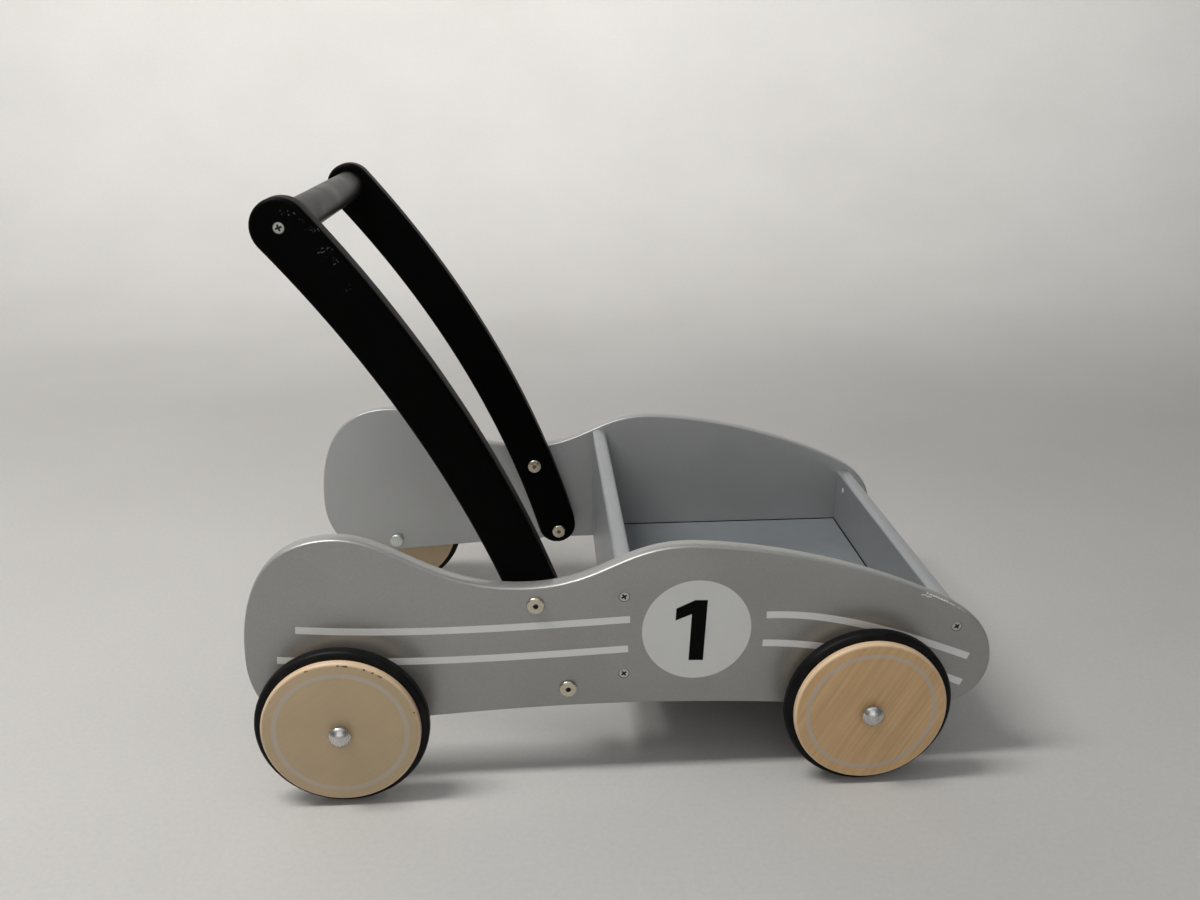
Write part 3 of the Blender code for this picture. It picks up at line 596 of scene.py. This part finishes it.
def silver_paint(name, tones, chips=(), chip_radius=0.0, worn_and_highlit_edge=False):
    """Satin metallic paint with fine flake, soft clouding and a few chips down to the pale filler, and where
    asked a pale edge line, partly worn paint and partly a painted highlight.
    """
    look = Finish(name)
    clouds = look.mix(look.remap(look.noise(scale=11.0, detail=3.0), *CLOUD_SPREAD), *tones)
    tone = look.scaled(clouds, look.varied(FLAKE_SCALE, detail=1.0, low=0.92, high=1.08))
    metal = PAINT_METAL
    if chips or worn_and_highlit_edge:
        wear_and_highlight = look.rubbed_and_highlit_edge() if worn_and_highlit_edge else 0.0
        for centre in chips:
            wear_and_highlight = look.math("MAXIMUM", wear_and_highlight, look.marks(centre, chip_radius, CHIP_SCALE, CHIP_LEVEL))
        # Chips and the worn start of the edge line show the pale filler; the fading stretch of that line is a
        # painted highlight
        tone = look.mix(wear_and_highlight, tone, FILLER_AND_HIGHLIGHT)
        metal = look.remap(wear_and_highlight, 0.0, 1.0, PAINT_METAL, 0.0)
    roughness = look.varied(scale=45.0, detail=4.0, low=0.36, high=0.44)
    relief = look.bump(look.noise(BRUSH_SCALE), strength=0.05, distance=0.0002)
    look.surface(Base_Color=tone, Metallic=metal, Roughness=roughness, Normal=relief)
    return look.material


def black_paint(name, scuffs=()):
    """Satin black paint, grey-brown along its edges: partly rubbed paint, partly a painted sheen."""
    look = Finish(name)
    tone = look.mix(look.varied(scale=60.0, detail=3.0), *BLACK_TONES)
    wear_and_highlight = look.edge_wear_and_sheen(scale=90.0, from_noise=0.45, to_noise=0.62)
    # Edges lighter grey-brown: partly rubbed paint, partly painted sheen
    tone = look.mix(look.math("MULTIPLY", wear_and_highlight, RUBBED_AND_SHEEN_SHARE), tone, RUBBED_AND_SHEEN_BLACK)
    for centre in scuffs:
        tone = look.mix(look.marks(centre, SCUFF_RADIUS, SCUFF_SCALE, SCUFF_LEVEL), tone, SCUFFED_BLACK)
    roughness = look.varied(scale=35.0, detail=4.0, low=0.42, high=0.50)
    relief = look.bump(look.noise(BRUSH_SCALE), strength=0.06, distance=0.0001)
    look.surface(Base_Color=tone, Specular_IOR_Level=0.04, Roughness=roughness, Normal=relief)
    return look.material


def worn_grip(name):
    """The bar's black paint, polished to a grey sheen by hands."""
    look = Finish(name)
    tone = look.mix(look.varied(scale=45.0, detail=4.0), *GRIP_TONES)
    roughness = look.varied(scale=30.0, detail=3.0, low=0.30, high=0.42)
    relief = look.bump(look.noise(scale=500.0), strength=0.05, distance=0.0001)
    look.surface(Base_Color=tone, Specular_IOR_Level=0.18, Roughness=roughness, Normal=relief)
    return look.material


def birch_grain(look, grain):
    """Colour of streaked birch, and its fibres."""
    turn, contrast, tones = grain
    figure = look.noise(scale=1.0, detail=4.0, vector=look.stretched(turn, FIGURE_SCALE))
    fibres = look.noise(scale=1.0, vector=look.stretched(turn, FIBRE_SCALE))
    reach = NOISE_MIDDLE / contrast
    tone = look.mix(look.remap(figure, NOISE_MIDDLE - reach, NOISE_MIDDLE + reach), *tones)
    shade_low, shade_high = GRAIN_SHADE
    tone = look.scaled(tone, look.varied(scale=35.0, detail=3.0, low=shade_low, high=shade_high))
    return look.scaled(tone, look.remap(fibres, *NOISE_SPREAD, shade_low, shade_high)), fibres


def bare_birch(look, through):
    """Colour of a bare rim with faint ply lines, by the place through the disc."""
    plies = look.math("SINE", look.math("MULTIPLY", through, math.tau / PLY_PITCH))
    tone = look.mix(look.varied(scale=90.0, detail=3.0), *BARE_BIRCH)
    return look.scaled(tone, look.remap(plies, -1.0, 1.0, *PLY_SHADE))


def printed_ring(look, radius, outer_face):
    """Cover of the ring printed on a wheel's outer face, slightly patchy."""
    across = look.math("ABSOLUTE", look.math("SUBTRACT", radius, PRINTED_RING))
    half = PRINTED_RING_WIDTH / 2
    ring = look.math("MULTIPLY", look.remap(across, half - PRINTED_RING_BLUR, half, 1.0, 0.0), outer_face)
    patches = look.noise(scale=300.0, detail=3.0)
    return look.math("MULTIPLY", ring, look.remap(patches, *RING_PATCHES, *RING_COVER))


def dented(look, tone, angle, edge, dents):
    """A colour with ragged dark dents along an edge, by their middles and half sweeps in degrees."""
    ragged = look.math("MULTIPLY", edge, look.noise(RIM_DENT_SCALE, detail=4.0))
    for degrees, sweep in dents:
        apart = look.math("ABSOLUTE", look.math("SUBTRACT", angle, math.radians(degrees)))
        near = look.remap(apart, math.radians(sweep) / 2, math.radians(sweep), 1.0, 0.0)
        dent = look.remap(look.math("MULTIPLY", near, ragged), *RIM_DENT_LEVELS)
        tone = look.mix(dent, tone, DENT_BROWN)
    return tone


def lacquered_wood(name, side, disc_radius, grain, dents=()):
    """Birch with streaked grain, faint ply lines on the rim and a printed grey ring on the outer face."""
    look = Finish(name)
    tone, fibres = birch_grain(look, grain)
    x, y, z = look.node("SeparateXYZ", {0: look.where}).outputs
    flat_place = look.node("CombineXYZ", {"X": x, "Z": z}).outputs[0]
    radius = look.node("VectorMath", {0: flat_place}, operation="LENGTH").outputs["Value"]
    outer_face = look.math("GREATER_THAN", look.math("MULTIPLY", y, side), 0.0)
    rim = look.remap(radius, disc_radius - DISC_EDGE, disc_radius - DISC_EDGE / 2)
    tone = look.mix(look.math("MULTIPLY", rim, RIM_BARENESS), tone, bare_birch(look, y))
    tone = look.mix(printed_ring(look, radius, outer_face), tone, RING_GREY)
    if dents:
        inward = look.math("ABSOLUTE", look.math("SUBTRACT", radius, disc_radius - RIM_DENT_FROM_EDGE))
        edge = look.remap(inward, RIM_DENT_CORE, RIM_DENT_WIDTH, 1.0, 0.0)
        angle = look.math("ARCTAN2", z, x)
        tone = dented(look, tone, angle, look.math("MULTIPLY", edge, outer_face), dents)
    roughness = look.remap(fibres, *NOISE_SPREAD, to_low=0.42, to_high=0.52)
    relief = look.bump(fibres, strength=0.08, distance=0.0002)
    look.surface(Base_Color=tone, Roughness=roughness, Coat_Weight=0.10, Coat_Roughness=0.30, Normal=relief)
    return look.material


def rubber(name):
    """Smooth black rubber with a little dust."""
    look = Finish(name)
    dust = look.remap(look.noise(scale=55.0, detail=5.0), low=0.48, high=0.78)
    tone = look.mix(dust, *RUBBER_TONES)
    roughness = look.remap(dust, 0.0, 1.0, to_low=0.42, to_high=0.65)
    relief = look.bump(look.noise(scale=900.0), strength=0.08, distance=0.0001)
    look.surface(Base_Color=tone, Specular_IOR_Level=0.12, Roughness=roughness, Normal=relief)
    return look.material


def plated(name, tones, roughness):
    """Plated steel, a little dulled in soft patches."""
    look = Finish(name)
    patches = look.remap(look.noise(scale=170.0), low=0.30, high=0.75)
    least, most = PLATE_DULLING
    dulled = look.varied(scale=600.0, detail=2.0, low=roughness * least, high=roughness * most)
    relief = look.bump(look.noise(scale=1800.0, detail=1.0), strength=0.02, distance=0.00005)
    look.surface(Base_Color=look.mix(patches, *tones), Metallic=1.0, Roughness=dulled, Normal=relief)
    return look.material


def ink(name, tone, roughness, shine):
    """Printed ink with slightly uneven cover."""
    look = Finish(name)
    thin = [THIN_INK * part for part in tone]
    cover = look.mix(look.varied(scale=45.0, detail=3.0), tone, thin)
    speckled = look.scaled(cover, look.varied(FLAKE_SCALE, detail=1.0, low=0.975, high=1.025))
    relief = look.bump(look.noise(scale=900.0), strength=0.05, distance=0.0001)
    look.surface(Base_Color=speckled, Roughness=roughness, Specular_IOR_Level=shine, Normal=relief)
    return look.material


def plain_solid(name, tones, roughness, scale):
    """Plastic, bare wood, grime and painted shade that hardly show."""
    look = Finish(name)
    tone = look.mix(look.varied(scale, detail=3.0), *tones)
    relief = look.bump(look.noise(scale * RELIEF_FINENESS), strength=0.08, distance=0.0001)
    look.surface(Base_Color=tone, Roughness=roughness, Normal=relief)
    return look.material


def tray_paint(name, field_top):
    """The tray floor's paint in darker bluish tones as painted cool shade, with its unpainted edge near black
    in the joint round it, partly the bare edge and partly painted shade in the gap.
    """
    look = Finish(name)
    # Darker bluish tones: painted cool shade of the tray floor
    clouds = look.mix(look.remap(look.noise(scale=9.0, detail=3.0), *CLOUD_SPREAD), *TRAY_COOL_SHADE_TONES)
    tone = look.scaled(clouds, look.varied(FLAKE_SCALE, detail=1.0, low=0.94, high=1.06))
    height = look.node("SeparateXYZ", {0: look.where}).outputs["Z"]
    # Floor edge in the groove near black: partly bare board, partly painted shade in the joint
    bare_and_shaded = look.remap(height, field_top - FLOOR_EDGE_FULLY_DARK, field_top - FLOOR_EDGE_UNDARKENED, 1.0, 0.0)
    tone = look.mix(bare_and_shaded, tone, TRAY_EDGE_AND_JOINT_SHADE)
    roughness = look.varied(scale=45.0, detail=4.0, low=0.36, high=0.46)
    relief = look.bump(look.noise(BRUSH_SCALE), strength=0.05, distance=0.0002)
    look.surface(Base_Color=tone, Metallic=0.25, Roughness=roughness, Normal=relief)
    return look.material


def middle(box):
    """The point halfway between a box's corners."""
    return (box[0] + box[1]) / 2


def countersink(screw, sign, face):
    """The cutter for a flush screw head in a face at that distance from the middle."""
    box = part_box(screw)
    radius = (box[1].x - box[0].x) / 2 + SCREW_RING_GAP
    deep, proud = face - SCREW_HEAD_DEPTH, face + SCREW_HEAD_DEPTH
    cone = [(0.0, deep), (SCREW_RADIUS + SCREW_RING_GAP, deep), (radius, face), (radius, proud), (0.0, proud)]
    hole = turned([(wide, sign * along) for wide, along in cone], FASTENER_FACETS)
    return moved(hole, middle(box).x, 0.0, middle(box).z)


def grooves():
    """The cutters for the groove round the tray floor, by the node that each one cuts."""
    rear_face, front_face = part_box("rear_board")[1].x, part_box("front_board")[0].x
    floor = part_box("floor_board")[1].z
    low, high = floor - GROOVE_BELOW, floor + GROOVE_ABOVE
    spans = {"rear_board": (rear_face - GROOVE_DEPTH, rear_face + GROOVE_DEPTH),
             "front_board": (front_face - GROOVE_DEPTH, front_face + GROOVE_DEPTH)}
    cutters = {}
    for node, (start, end) in spans.items():
        outline = ((start, low), (end, low), (end, high), (start, high))
        cutters[node] = slab(outline, -PANEL_INNER, PANEL_INNER)
    outline = ((rear_face, low), (front_face, low), (front_face, high), (rear_face, high))
    for side, sign in SIDES:
        cutters[f"side_panel_{side}"] = slab(outline, sign * (PANEL_INNER - GROOVE_DEPTH),
                                             sign * (PANEL_INNER + GROOVE_DEPTH))
    return cutters


def crown(low, high, from_degrees, to_degrees):
    """The softly crowned top of an upright board, from its front at 0 degrees to its rear at 180."""
    half = (high.x - low.x) / 2
    return [Vector((low.x + half + half * point.x, high.z + BOARD_CROWN * (point.y - 1)))
            for point in arc((0.0, 0.0), 1.0, from_degrees, to_degrees, CROWN_STEPS)]


def rear_board_top(low, high):
    """A top that is crowned from its front to its rear."""
    return (crown(low, high, 0, 180),)


def front_board_top(low, high):
    """A top that is crowned behind its middle and falls straight to a rounded front edge."""
    fall = math.radians(FRONT_BOARD_SLOPE)
    reach = (high.x - low.x) / 2 - FRONT_BOARD_EDGE
    level = high.z - reach * math.tan(fall) - FRONT_BOARD_EDGE / math.cos(fall)
    centre = (high.x - FRONT_BOARD_EDGE, level)
    return (arc(centre, FRONT_BOARD_EDGE, 0, 90 - FRONT_BOARD_SLOPE, RIM_STEPS), crown(low, high, 90, 180))


def board_outline(low, high, top):
    """An upright board in X and Z with a given top and rounded edges at its foot."""
    foot = low.z + BOARD_FOOT_EDGE
    bends = (
        *top(low, high),
        arc((low.x + BOARD_FOOT_EDGE, foot), BOARD_FOOT_EDGE, 180, 270, RIM_STEPS),
        arc((high.x - BOARD_FOOT_EDGE, foot), BOARD_FOOT_EDGE, 270, 360, RIM_STEPS),
    )
    outline = []
    for bend, following in zip(bends, bends[1:] + bends[:1]):
        step = (following[0] - bend[-1]).normalized() * FLAT_HOLD
        outline += bend + [bend[-1] + step, following[0] - step]
    return outline


def make_body():
    """Painted side panels with countersunk holes, and the two boards of the tray."""
    raw = plain_solid("raw_cut", RAW_PANEL_TONES, roughness=0.7, scale=900.0)
    outline = panel_outline()
    cutters = grooves()
    chips = [(x, -PANEL_OUTER, z) for x, z in PANEL_CHIPS]
    # Near panel in a darker copy of the paint as painted shade, far panel in a lighter, cooler copy as
    # painted light
    near_paint = silver_paint("silver_paint_right_shaded", NEAR_PANEL_SHADED_TONES, chips, PANEL_CHIP_RADIUS,
                              worn_and_highlit_edge=True)
    finishes = {"right": near_paint, "left": silver_paint("silver_paint_left_lit", FAR_PANEL_LIT_TONES)}
    for side, sign in SIDES:
        node = f"side_panel_{side}"
        y_low, y_high = sorted((sign * PANEL_INNER, sign * PANEL_OUTER))
        screws = [f"panel_screw_{which}_{side}" for which in ("rear_high", "rear_low", "front")]
        holes = [countersink(screw, sign, PANEL_OUTER) for screw in screws]
        crowned = rounded_slab(outline, y_low, y_high, PANEL_CROWN, (y_high - y_low) / 2, CROWN_STEPS // 2)
        board = carved(crowned, holes + [cutters[node]])
        piece(f"fine_{node}", board, (finishes[side], raw), node=node)
    for end, top in (("rear", rear_board_top), ("front", front_board_top)):
        node = f"{end}_board"
        low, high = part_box(node)
        chips = [(low.x, *BOARD_CHIP)] if end == "front" else []
        # Bluish board tones are painted cool shade of the tray
        finish = silver_paint(f"silver_paint_{end}_board", BOARD_COOL_SHADE_TONES, chips, BOARD_CHIP_RADIUS)
        board = carved(slab(board_outline(low, high, top), low.y, high.y, smooth=True), [cutters[node]])
        piece(f"fine_{node}", board, (finish, raw), node=node)


def make_handle():
    """Bowed arms and the round bar between them."""
    outline = arm_outline()
    raw_hole = plain_solid("raw_arm_hole", RAW_ARM_TONES, roughness=0.7, scale=900.0)
    for side, sign in SIDES:
        node = f"handle_arm_{side}"
        low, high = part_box(node)
        face = max(abs(low.y), abs(high.y))
        scuffs = [(x, sign * face, z) for x, z in ARM_SCUFFS] if side == "right" else []
        hole = countersink(f"handle_bar_screw_{side}", sign, face)
        arm = carved(rounded_slab(outline, low.y, high.y, ARM_EDGE, ARM_EDGE, RIM_STEPS), [hole])
        paint = black_paint(f"black_paint_{side}", scuffs)
        piece(f"fine_{node}", arm, (paint, raw_hole), node=node)
    low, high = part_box("handle_bar")
    radius = (high.z - low.z) / 2
    half = (high.y - low.y) / 2
    end_edge = arc((radius - GRIP_EDGE, half - GRIP_EDGE), GRIP_EDGE, 0, 90, GRIP_EDGE_STEPS)
    quarter = end_edge + [(0.0, half)]
    profile = [(wide, -along) for wide, along in reversed(quarter)] + quarter
    piece("fine_handle_bar", turned(profile, ROD_FACETS), (worn_grip("black_paint_bar"),),
          node="handle_bar", place=middle((low, high)))


def mirrored(profile):
    """A closed profile from its half on one side of the middle plane."""
    return profile + [(radius, -along) for radius, along in reversed(profile)]


def disc_profile(radius, half, tyre_half):
    """A wheel disc with rounded edges and a seat for the tyre."""
    rim = arc((radius - DISC_EDGE, half - DISC_EDGE), DISC_EDGE, 90, 0, RIM_STEPS)
    shoulder = tyre_half + SEAT_GAP
    return mirrored([(BORE_RADIUS, half)] + rim + [(radius, shoulder), (radius - SEAT_DEPTH, shoulder)])


def tyre_profile(radius, half, disc_radius):
    """A tyre with rounded edges that lies on the disc's seat."""
    edge = arc((radius - TYRE_EDGE, half - TYRE_EDGE), TYRE_EDGE, 90, 0, RIM_STEPS)
    return mirrored([(disc_radius - SEAT_DEPTH + SEAT_GAP, half)] + edge)


def make_wheels():
    """Wooden discs with a seat for the tyre, and the tyres."""
    tyre_finish = rubber("tyre_rubber")
    for end in ENDS:
        for side, sign in SIDES:
            corner = f"{end}_{side}"
            body, disc_node, tyre_node = f"wheel_{corner}", f"wheel_disc_{corner}", f"tyre_{corner}"
            hub = JOINT_PLACES[body]
            low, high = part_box(disc_node)
            tyre_low, tyre_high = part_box(tyre_node)
            disc_radius, half = (high.x - low.x) / 2, (high.y - low.y) / 2
            tyre_radius, tyre_half = (tyre_high.x - tyre_low.x) / 2, (tyre_high.y - tyre_low.y) / 2
            dents = RIM_DENTS if corner == "rear_right" else ()
            wood = lacquered_wood(f"birch_{corner}", sign, disc_radius, WHEEL_GRAIN[corner], dents)
            disc = turned(disc_profile(disc_radius, half, tyre_half), WHEEL_FACETS, closed=True)
            piece(f"fine_{disc_node}", disc, (wood,), body, disc_node, hub)
            tyre = turned(tyre_profile(tyre_radius, tyre_half, disc_radius), WHEEL_FACETS, closed=True)
            piece(f"fine_{tyre_node}", tyre, (tyre_finish,), body, tyre_node, hub)


def hexagon(top, sign):
    """The cutter for a hexagon socket."""
    points = arc((0.0, 0.0), HEX_RADIUS, 0, 360, HEX_CORNERS)[:-1]
    return [slab(points, sign * (top + HEX_DEPTH), sign * (top - HEX_DEPTH))]


def cross(turn):
    """What makes the cutters for a cross recess that stands at an angle."""
    def cutters(top, sign):
        """Two crossed bars."""
        bars = []
        for angle in (turn, turn + math.pi / 2):
            along = Vector((math.cos(angle), math.sin(angle)))
            aside = Vector((-along.y, along.x)) * CROSS_WIDTH / 2
            tip = along * CROSS_LENGTH / 2
            points = (tip - aside, tip + aside, aside - tip, -tip - aside)
            bars.append(slab(points, sign * (top + CROSS_DEPTH), sign * (top - CROSS_DEPTH)))
        return bars
    return cutters


def flat_head(radius, height, shank, length):
    """Profile of a flat round head with a rounded rim over a plain shank, from its outer end inward."""
    rim = arc((radius - HEAD_EDGE, HEAD_EDGE), HEAD_EDGE, -90, 0, HEAD_EDGE_STEPS)
    head = [(0.0, 0.0)] + rim + [(radius, height)]
    return head + [(shank, height), (shank, length), (0.0, length)]


def fastener(node, facing, profile_for, finishes, recess=None, facets=FASTENER_FACETS):
    """A turned fastener for a node, whose outer end faces along Y as the sign says.

    Its profile has (radius, depth below the outer end) points.
    """
    low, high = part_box(node)
    top = high.y if facing > 0 else -low.y
    profile = profile_for((high.x - low.x) / 2, high.y - low.y)
    shape = turned([(radius, facing * (top - depth)) for radius, depth in profile], facets)
    if recess:
        shape = carved(shape, recess(top, facing))
    place = middle((low, high))
    piece(f"fine_{node}", shape, finishes, node=node, place=(place.x, 0.0, place.z))


def bolt_profile(radius, length):
    """A flat-headed bolt."""
    return flat_head(radius, BOLT_HEAD_HEIGHT, BOLT_RADIUS, length)


def sleeve_profile(radius, length):
    """A flat-headed sleeve nut."""
    return flat_head(radius, SLEEVE_HEAD_HEIGHT, SLEEVE_RADIUS, length)


def screw_profile(radius, length):
    """A countersunk head over a plain shank with a pointed end."""
    head = [(0.0, 0.0), (radius - SCREW_HEAD_RIM, 0.0), (radius, SCREW_HEAD_RIM)]
    return head + [(SCREW_RADIUS, SCREW_HEAD_DEPTH), (SCREW_RADIUS, length - SCREW_RADIUS), (0.0, length)]


def axle_profile(radius, length):
    """A low dome over a plain shank."""
    rise = AXLE_HEAD_HEIGHT - AXLE_HEAD_RIM
    bend = (radius ** 2 + rise ** 2) / (2 * rise)
    sweep = math.degrees(math.asin(radius / bend))
    dome = [(max(point.x, 0.0), point.y) for point in arc((0.0, bend), bend, -90, sweep - 90, DOME_STEPS)]
    shank = [(BOLT_RADIUS, AXLE_HEAD_HEIGHT), (BOLT_RADIUS, length), (0.0, length)]
    return dome + [(radius, AXLE_HEAD_HEIGHT)] + shank


def cap_nut_profile(radius, length):
    """A flat round cap with a rounded rim."""
    rim = arc((radius - CAP_NUT_EDGE, CAP_NUT_EDGE), CAP_NUT_EDGE, -90, 0, HEAD_EDGE_STEPS)
    return [(0.0, 0.0)] + rim + [(radius, length), (0.0, length)]


def make_fasteners():
    """Arm bolts and sleeve nuts, countersunk screws, axle bolts and cap nuts."""
    nickel = plated("nickel_plate", NICKEL_TONES, roughness=0.27)
    zinc = plated("zinc_plate", ZINC_TONES, roughness=0.34)
    chrome = plated("chrome_plate", CHROME_TONES, roughness=0.26)
    pale_zinc = plated("pale_zinc_plate", PALE_ZINC_TONES, roughness=0.42)
    # Dark floors of the sockets and cross recesses: partly grime, partly painted shade
    grime_and_shade = plain_solid("socket_grime_and_shade", GRIME_AND_SHADE_TONES, roughness=0.6, scale=900.0)
    brass = plain_solid("socket_brass", BRASS_TONES, roughness=0.5, scale=900.0)
    for side, sign in SIDES:
        for level in ("high", "low"):
            fastener(f"arm_bolt_{level}_{side}", sign, bolt_profile, (nickel, grime_and_shade), hexagon)
            fastener(f"arm_sleeve_nut_{level}_{side}", -sign, sleeve_profile, (nickel, brass), hexagon)
        for which, turn in SCREW_TURNS.items():
            fastener(f"{which}_{side}", sign, screw_profile, (zinc, grime_and_shade), cross(math.radians(turn)))
        for end in ENDS:
            fastener(f"axle_bolt_{end}_{side}", sign, axle_profile, (chrome,), facets=ROD_FACETS)
            fastener(f"axle_cap_nut_{end}_{side}", -sign, cap_nut_profile, (pale_zinc,), facets=ROD_FACETS)


def make_prints():
    """Roundel, numeral and speed stripes on the outer faces of both panels."""
    pale = ink("pale_ink", PALE_INK, roughness=0.45, shine=0.4)
    silvery = ink("silvery_ink", SILVERY_INK, roughness=0.45, shine=0.4)
    dark = ink("dark_ink", DARK_INK, roughness=0.42, shine=0.06)
    for side, sign in SIDES:
        foot, top = sign * (PANEL_OUTER - FILM_SUNK), sign * (PANEL_OUTER + FILM)
        centre = in_world(ROUNDEL_PLACE)
        ring = arc(centre, ROUNDEL_RADIUS, 0, 360, ROUNDEL_STEPS)[:-1]
        piece(f"print_roundel_{side}", slab(ring, foot, top), (pale,))
        numeral = [(centre.x - sign * x, centre.y + z) for x, z in NUMERAL]
        piece(f"print_numeral_{side}", slab(numeral, top, top + sign * FILM), (dark,))
        for name, points in STRIPES.items():
            upper = cubic([in_world(point) for point in points], STRIPE_STEPS)
            lower = []
            for before, point, after in zip(upper[:1] + upper[:-1], upper, upper[1:] + upper[-1:]):
                along = (after - before).normalized()
                lower.append(point + Vector((along.y, -along.x)) * STRIPE_WIDTH)
            stripe = slab(upper + lower[::-1], foot, top)
            piece(f"print_stripe_{name}_{side}", stripe, (silvery,))


def finish_carried_nodes():
    """Materials for the nodes that keep their solid shape."""
    # Bushes and spacers darkened as painted shade under the axle heads
    shaded_nylon = plain_solid("nylon_darkened_as_shade", NYLON_SHADE_TONES, roughness=0.50, scale=120.0)
    beech = plain_solid("bare_beech", BEECH_TONES, roughness=0.60, scale=260.0)
    floor = tray_paint("tray_paint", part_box("floor_board")[1].z)
    for name, node in frame["nodes"].items():
        finish = None
        if name == "floor_board":
            finish = floor
        elif name.startswith("front_dowel"):
            finish = beech
        elif name.startswith(("wheel_bush", "wheel_spacer")):
            finish = shaded_nylon
        if finish:
            node.material_slots[0].material = finish


def make_studio():
    """Pale round floor that sweeps up into a wall, soft lights and a dim pale sky."""
    look = Finish("studio_floor")
    tone = look.mix(look.varied(scale=3.0, detail=4.0), *STUDIO_TONES)
    mottled = look.scaled(tone, look.varied(scale=260.0, detail=4.0, low=0.97, high=1.03))
    look.surface(Base_Color=mottled, Roughness=0.75)
    sweep = arc((FLOOR_RADIUS, SWEEP_RADIUS), SWEEP_RADIUS, -90, 0, SWEEP_STEPS)
    profile = [(0.0, 0.0)] + sweep + [(FLOOR_RADIUS + SWEEP_RADIUS, SWEEP_TOP)]
    bm = turned(profile, SWEEP_FACETS)
    bmesh.ops.rotate(bm, matrix=Matrix.Rotation(math.pi / 2, 3, "X"), verts=bm.verts)
    mesh = bpy.data.meshes.new("studio_floor")
    bm.to_mesh(mesh)
    bm.free()
    mesh.materials.append(look.material)
    floor = bpy.data.objects.new("studio_floor", mesh)
    floor.location = FLOOR_MIDDLE
    bpy.context.scene.collection.objects.link(floor)
    for name, place, aim, size, spread, power, tint in LIGHTS:
        data = bpy.data.lights.new(name, "AREA")
        data.shape = "RECTANGLE"
        data.size, data.size_y = size
        data.spread = math.radians(spread)
        data.energy = power
        data.color = tint
        light = bpy.data.objects.new(name, data)
        light.location = place
        light.visible_camera = False
        light.rotation_euler = (Vector(aim) - Vector(place)).to_track_quat("-Z", "Y").to_euler()
        bpy.context.scene.collection.objects.link(light)
    world = bpy.data.worlds.new("surround")
    world.use_nodes = True
    backdrop = world.node_tree.nodes["Background"]
    backdrop.inputs["Color"].default_value = (*SKY, 1.0)
    backdrop.inputs["Strength"].default_value = SKY_STRENGTH
    bpy.context.scene.world = world


def make_camera():
    """The photograph's viewpoint."""
    right = Vector((math.cos(CAMERA_YAW), math.sin(CAMERA_YAW), 0.0))
    level = math.cos(CAMERA_PITCH)
    forward = Vector((-math.sin(CAMERA_YAW) * level, math.cos(CAMERA_YAW) * level, -math.sin(CAMERA_PITCH)))
    up = right.cross(forward)
    across = right * math.cos(CAMERA_ROLL) + up * math.sin(CAMERA_ROLL)
    upward = up * math.cos(CAMERA_ROLL) - right * math.sin(CAMERA_ROLL)
    data = bpy.data.cameras.new("photo_camera")
    data.sensor_fit = "HORIZONTAL"
    data.sensor_width = CAMERA_SENSOR
    data.lens = CAMERA_LENS
    camera = bpy.data.objects.new("photo_camera", data)
    camera.matrix_world = Matrix((across, upward, -forward)).transposed().to_4x4()
    camera.location = CAMERA_PLACE
    bpy.context.scene.collection.objects.link(camera)
    bpy.context.scene.camera = camera


make_body()
make_handle()
make_wheels()
make_fasteners()
make_prints()
finish_carried_nodes()
make_studio()
make_camera()
bpy.context.scene.view_settings.view_transform = "Standard"
